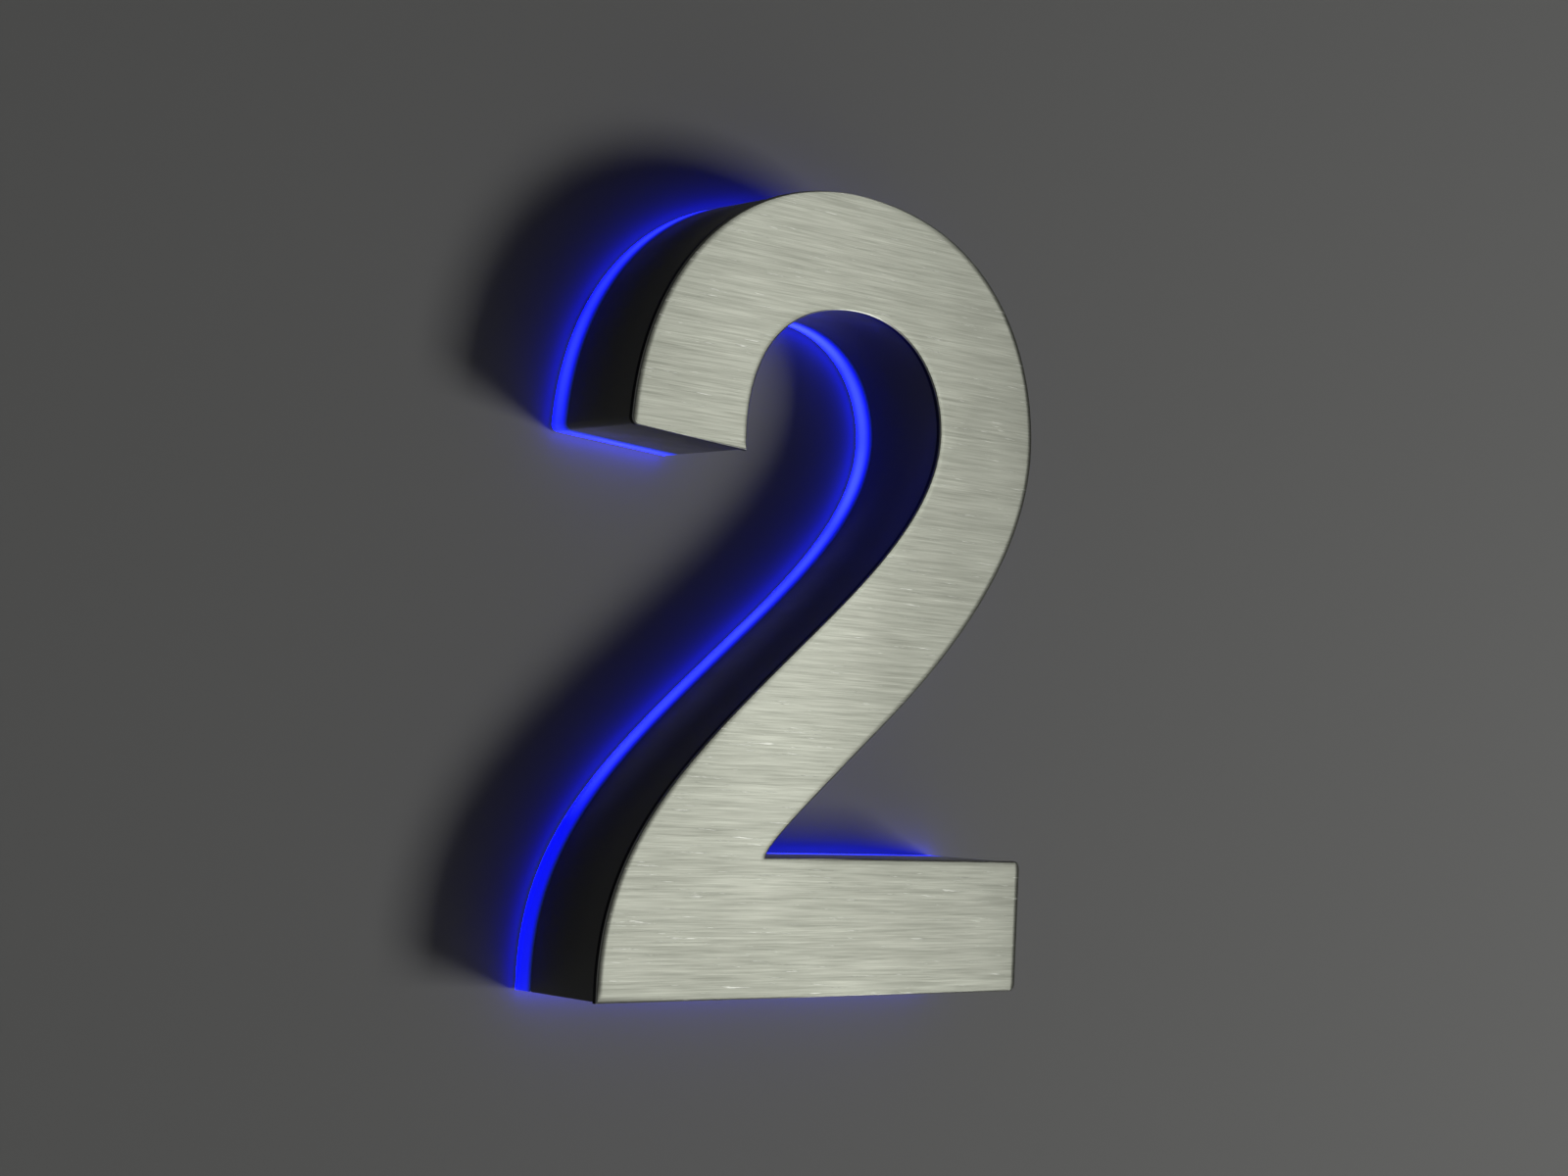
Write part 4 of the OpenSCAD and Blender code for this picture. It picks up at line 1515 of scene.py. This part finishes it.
        carve(thing, Form().put(way, [p @ along for p in at_poles]).put(drill, at_poles))
        self.finishes.settle(thing, "terminal_brass", Body.BACK, "terminal_cages")
        low, top = floor + cage_h - 1.2, floor + cage_h + 2.0
        tip = [ring_at(0.3, low), ring_at(1.0, low + 0.1)]
        head = [ring_at(1.25, top - 0.8), ring_at(1.25, top - 0.15), ring_at(1.1, top)]
        screw = Form().skin(tip + thread(1.2, 0.45, low + 0.2, top - 0.9, 36) + head)
        thing = Form().put(screw, at_poles).piece("slotted_screws")
        carve(thing, Form().put(Form().bar((4, 0.4, 2), 0.05, 0.02, top - 0.8), at_poles))
        self.finishes.settle(thing, "screw_steel", Body.BACK, "terminal_screws")

    def build(self) -> None:
        """Make the light modules and what feeds them."""
        numeral, panel = self.layout.numeral, self.layout.depths.panel
        self.places = [numeral.stand(p, panel, h) for p, h in self.layout.modules()]
        self.modules()
        self.wires(1, "feed_wires", "red_wire", "positive_wires")
        self.wires(-1, "return_wires", "black_wire", "negative_wires")
        self.terminal()


# Studio


@dataclass(frozen=True)
class Lamp:
    """A soft square light that points at the numeral."""

    name: str
    place: Triple
    side: float
    power: float
    colour: Colour = (1.0, 1.0, 1.0)

    def hang(self) -> None:
        """Put it in the scene."""
        light = bpy.data.lights.new(self.name, "AREA")
        light.shape, light.size = "SQUARE", self.side
        light.energy, light.color = self.power, self.colour
        lamp = bpy.data.objects.new(self.name, light)
        lamp.location = self.place
        lamp.rotation_euler = (-Vector(self.place)).to_track_quat("-Z", "Y").to_euler()
        bpy.context.scene.collection.objects.link(lamp)


@dataclass(frozen=True)
class Studio:
    """Floor, backdrop, lights and camera. Lengths here are metres."""

    eye: Triple = (-0.454956, -0.534216, -0.032490)
    yaw: float = 41.0
    pitch: float = 3.461
    roll: float = 2.689
    lens: float = 62.64
    floor_z: float = -0.95
    floor_reach: float = 3.0
    floor_grey: float = 0.62
    wall_y: float = 0.0008
    wall_reach: float = 1.6
    wall_top: float = 1.4
    wall_grey: float = 0.3
    world_grey: float = 0.01
    sky_grey: float = 0.4
    lamps: tuple[Lamp, ...] = (
        Lamp("key", (1.07, -1.274, -0.353), 0.46, 9.0, (1.0, 1.0, 0.97)),
        Lamp("fill", (-0.3, -1.5, 0.5), 0.9, 0.1, (0.96, 0.98, 1.0)),
        Lamp("side", (-1.3, -0.8, 0.25), 0.9, 0.3, (0.96, 0.98, 1.0)),
        Lamp("rear", (0.75, 1.3, 0.15), 0.9, 8.0),
    )

    def camera(self) -> None:
        """The camera at the photograph's angle."""
        yaw, pitch, roll = (math.radians(a) for a in (self.yaw, self.pitch, self.roll))
        ahead = Vector((math.sin(yaw) * math.cos(pitch), math.cos(yaw) * math.cos(pitch), math.sin(pitch)))
        right = Vector((math.cos(yaw), -math.sin(yaw), 0))
        up = right.cross(ahead)
        right_r = math.cos(roll) * right + math.sin(roll) * up
        up_r = -math.sin(roll) * right + math.cos(roll) * up
        data = bpy.data.cameras.new("camera")
        data.lens, data.sensor_width, data.clip_start = self.lens, 36.0, 0.01
        eye = bpy.data.objects.new("camera", data)
        turn = Matrix((right_r, up_r, -ahead)).transposed().to_4x4()
        eye.matrix_world = Matrix.Translation(self.eye) @ turn
        bpy.context.scene.collection.objects.link(eye)
        bpy.context.scene.camera = eye

    def sheet(self, name: str, corners: Sequence[tuple], grey: float, one_sided: bool) -> bpy.types.Object:
        """A plain stage sheet.

        Args:
            name: its name.
            corners: its four corners.
            grey: its shade.
            one_sided: whether it is clear when seen from behind.

        Returns:
            The sheet.
        """
        mesh = bpy.data.meshes.new(name)
        mesh.from_pydata(corners, [], [(0, 1, 2, 3)])
        thing = bpy.data.objects.new(name, mesh)
        bpy.context.scene.collection.objects.link(thing)
        r = Recipe(name)
        r.set(Base_Color=(grey, grey, grey), Roughness=0.9, Specular_IOR_Level=0.1)
        if one_sided:
            clear = r.add("BsdfTransparent").outputs[0]
            behind = r.add("NewGeometry").outputs["Backfacing"]
            mixed = r.add("MixShader", {0: behind, 1: r.shader.outputs[0], 2: clear}).outputs[0]
            output = next(n for n in r.tree.nodes if n.type == "OUTPUT_MATERIAL")
            r.tree.links.new(mixed, output.inputs["Surface"])
        mesh.materials.append(r.material)
        return thing

    def build(self) -> None:
        """Set the stage."""
        self.camera()
        z, y, out, side, top = self.floor_z, self.wall_y, self.floor_reach, self.wall_reach, self.wall_top
        floor = [(-out, -out, z), (out, -out, z), (out, out, z), (-out, out, z)]
        self.sheet("floor", floor, self.floor_grey, False)
        upright = [(-side, y, z), (side, y, z), (side, y, top), (-side, y, top)]
        wall = self.sheet("backdrop", upright, self.wall_grey, True)
        wall.visible_shadow = wall.visible_transmission = False
        world = bpy.data.worlds.new("studio")
        world.use_nodes = True
        tree = world.node_tree
        seen = tree.nodes.new("ShaderNodeLightPath").outputs["Is Camera Ray"]
        mix = tree.nodes.new("ShaderNodeMix")
        mix.inputs["A"].default_value, mix.inputs["B"].default_value = self.world_grey, self.sky_grey
        tree.links.new(seen, mix.inputs["Factor"])
        background = tree.nodes["Background"]
        background.inputs["Color"].default_value = (1, 1, 1, 1)
        tree.links.new(mix.outputs["Result"], background.inputs["Strength"])
        bpy.context.scene.world = world
        for lamp in self.lamps:
            lamp.hang()
        bpy.context.scene.view_settings.view_transform = "Standard"


def main() -> None:
    """Build the studio and the sign's sub-assemblies in order."""
    logging.basicConfig(level=logging.INFO, format="%(message)s")
    layout = Layout()
    spots = [layout.numeral.solid(p, 0)[::2] for p, _ in layout.modules()]
    finishes = Finishes([(float(x), float(z)) for x, z in spots])
    rim = layout.numeral.rim()
    Studio().build()
    Shell(layout, finishes, rim).build()
    Fasteners(layout, finishes).build()
    Panel(layout, finishes, rim).build()
    Lights(layout, finishes).build()


if __name__ == "__main__":
    main()
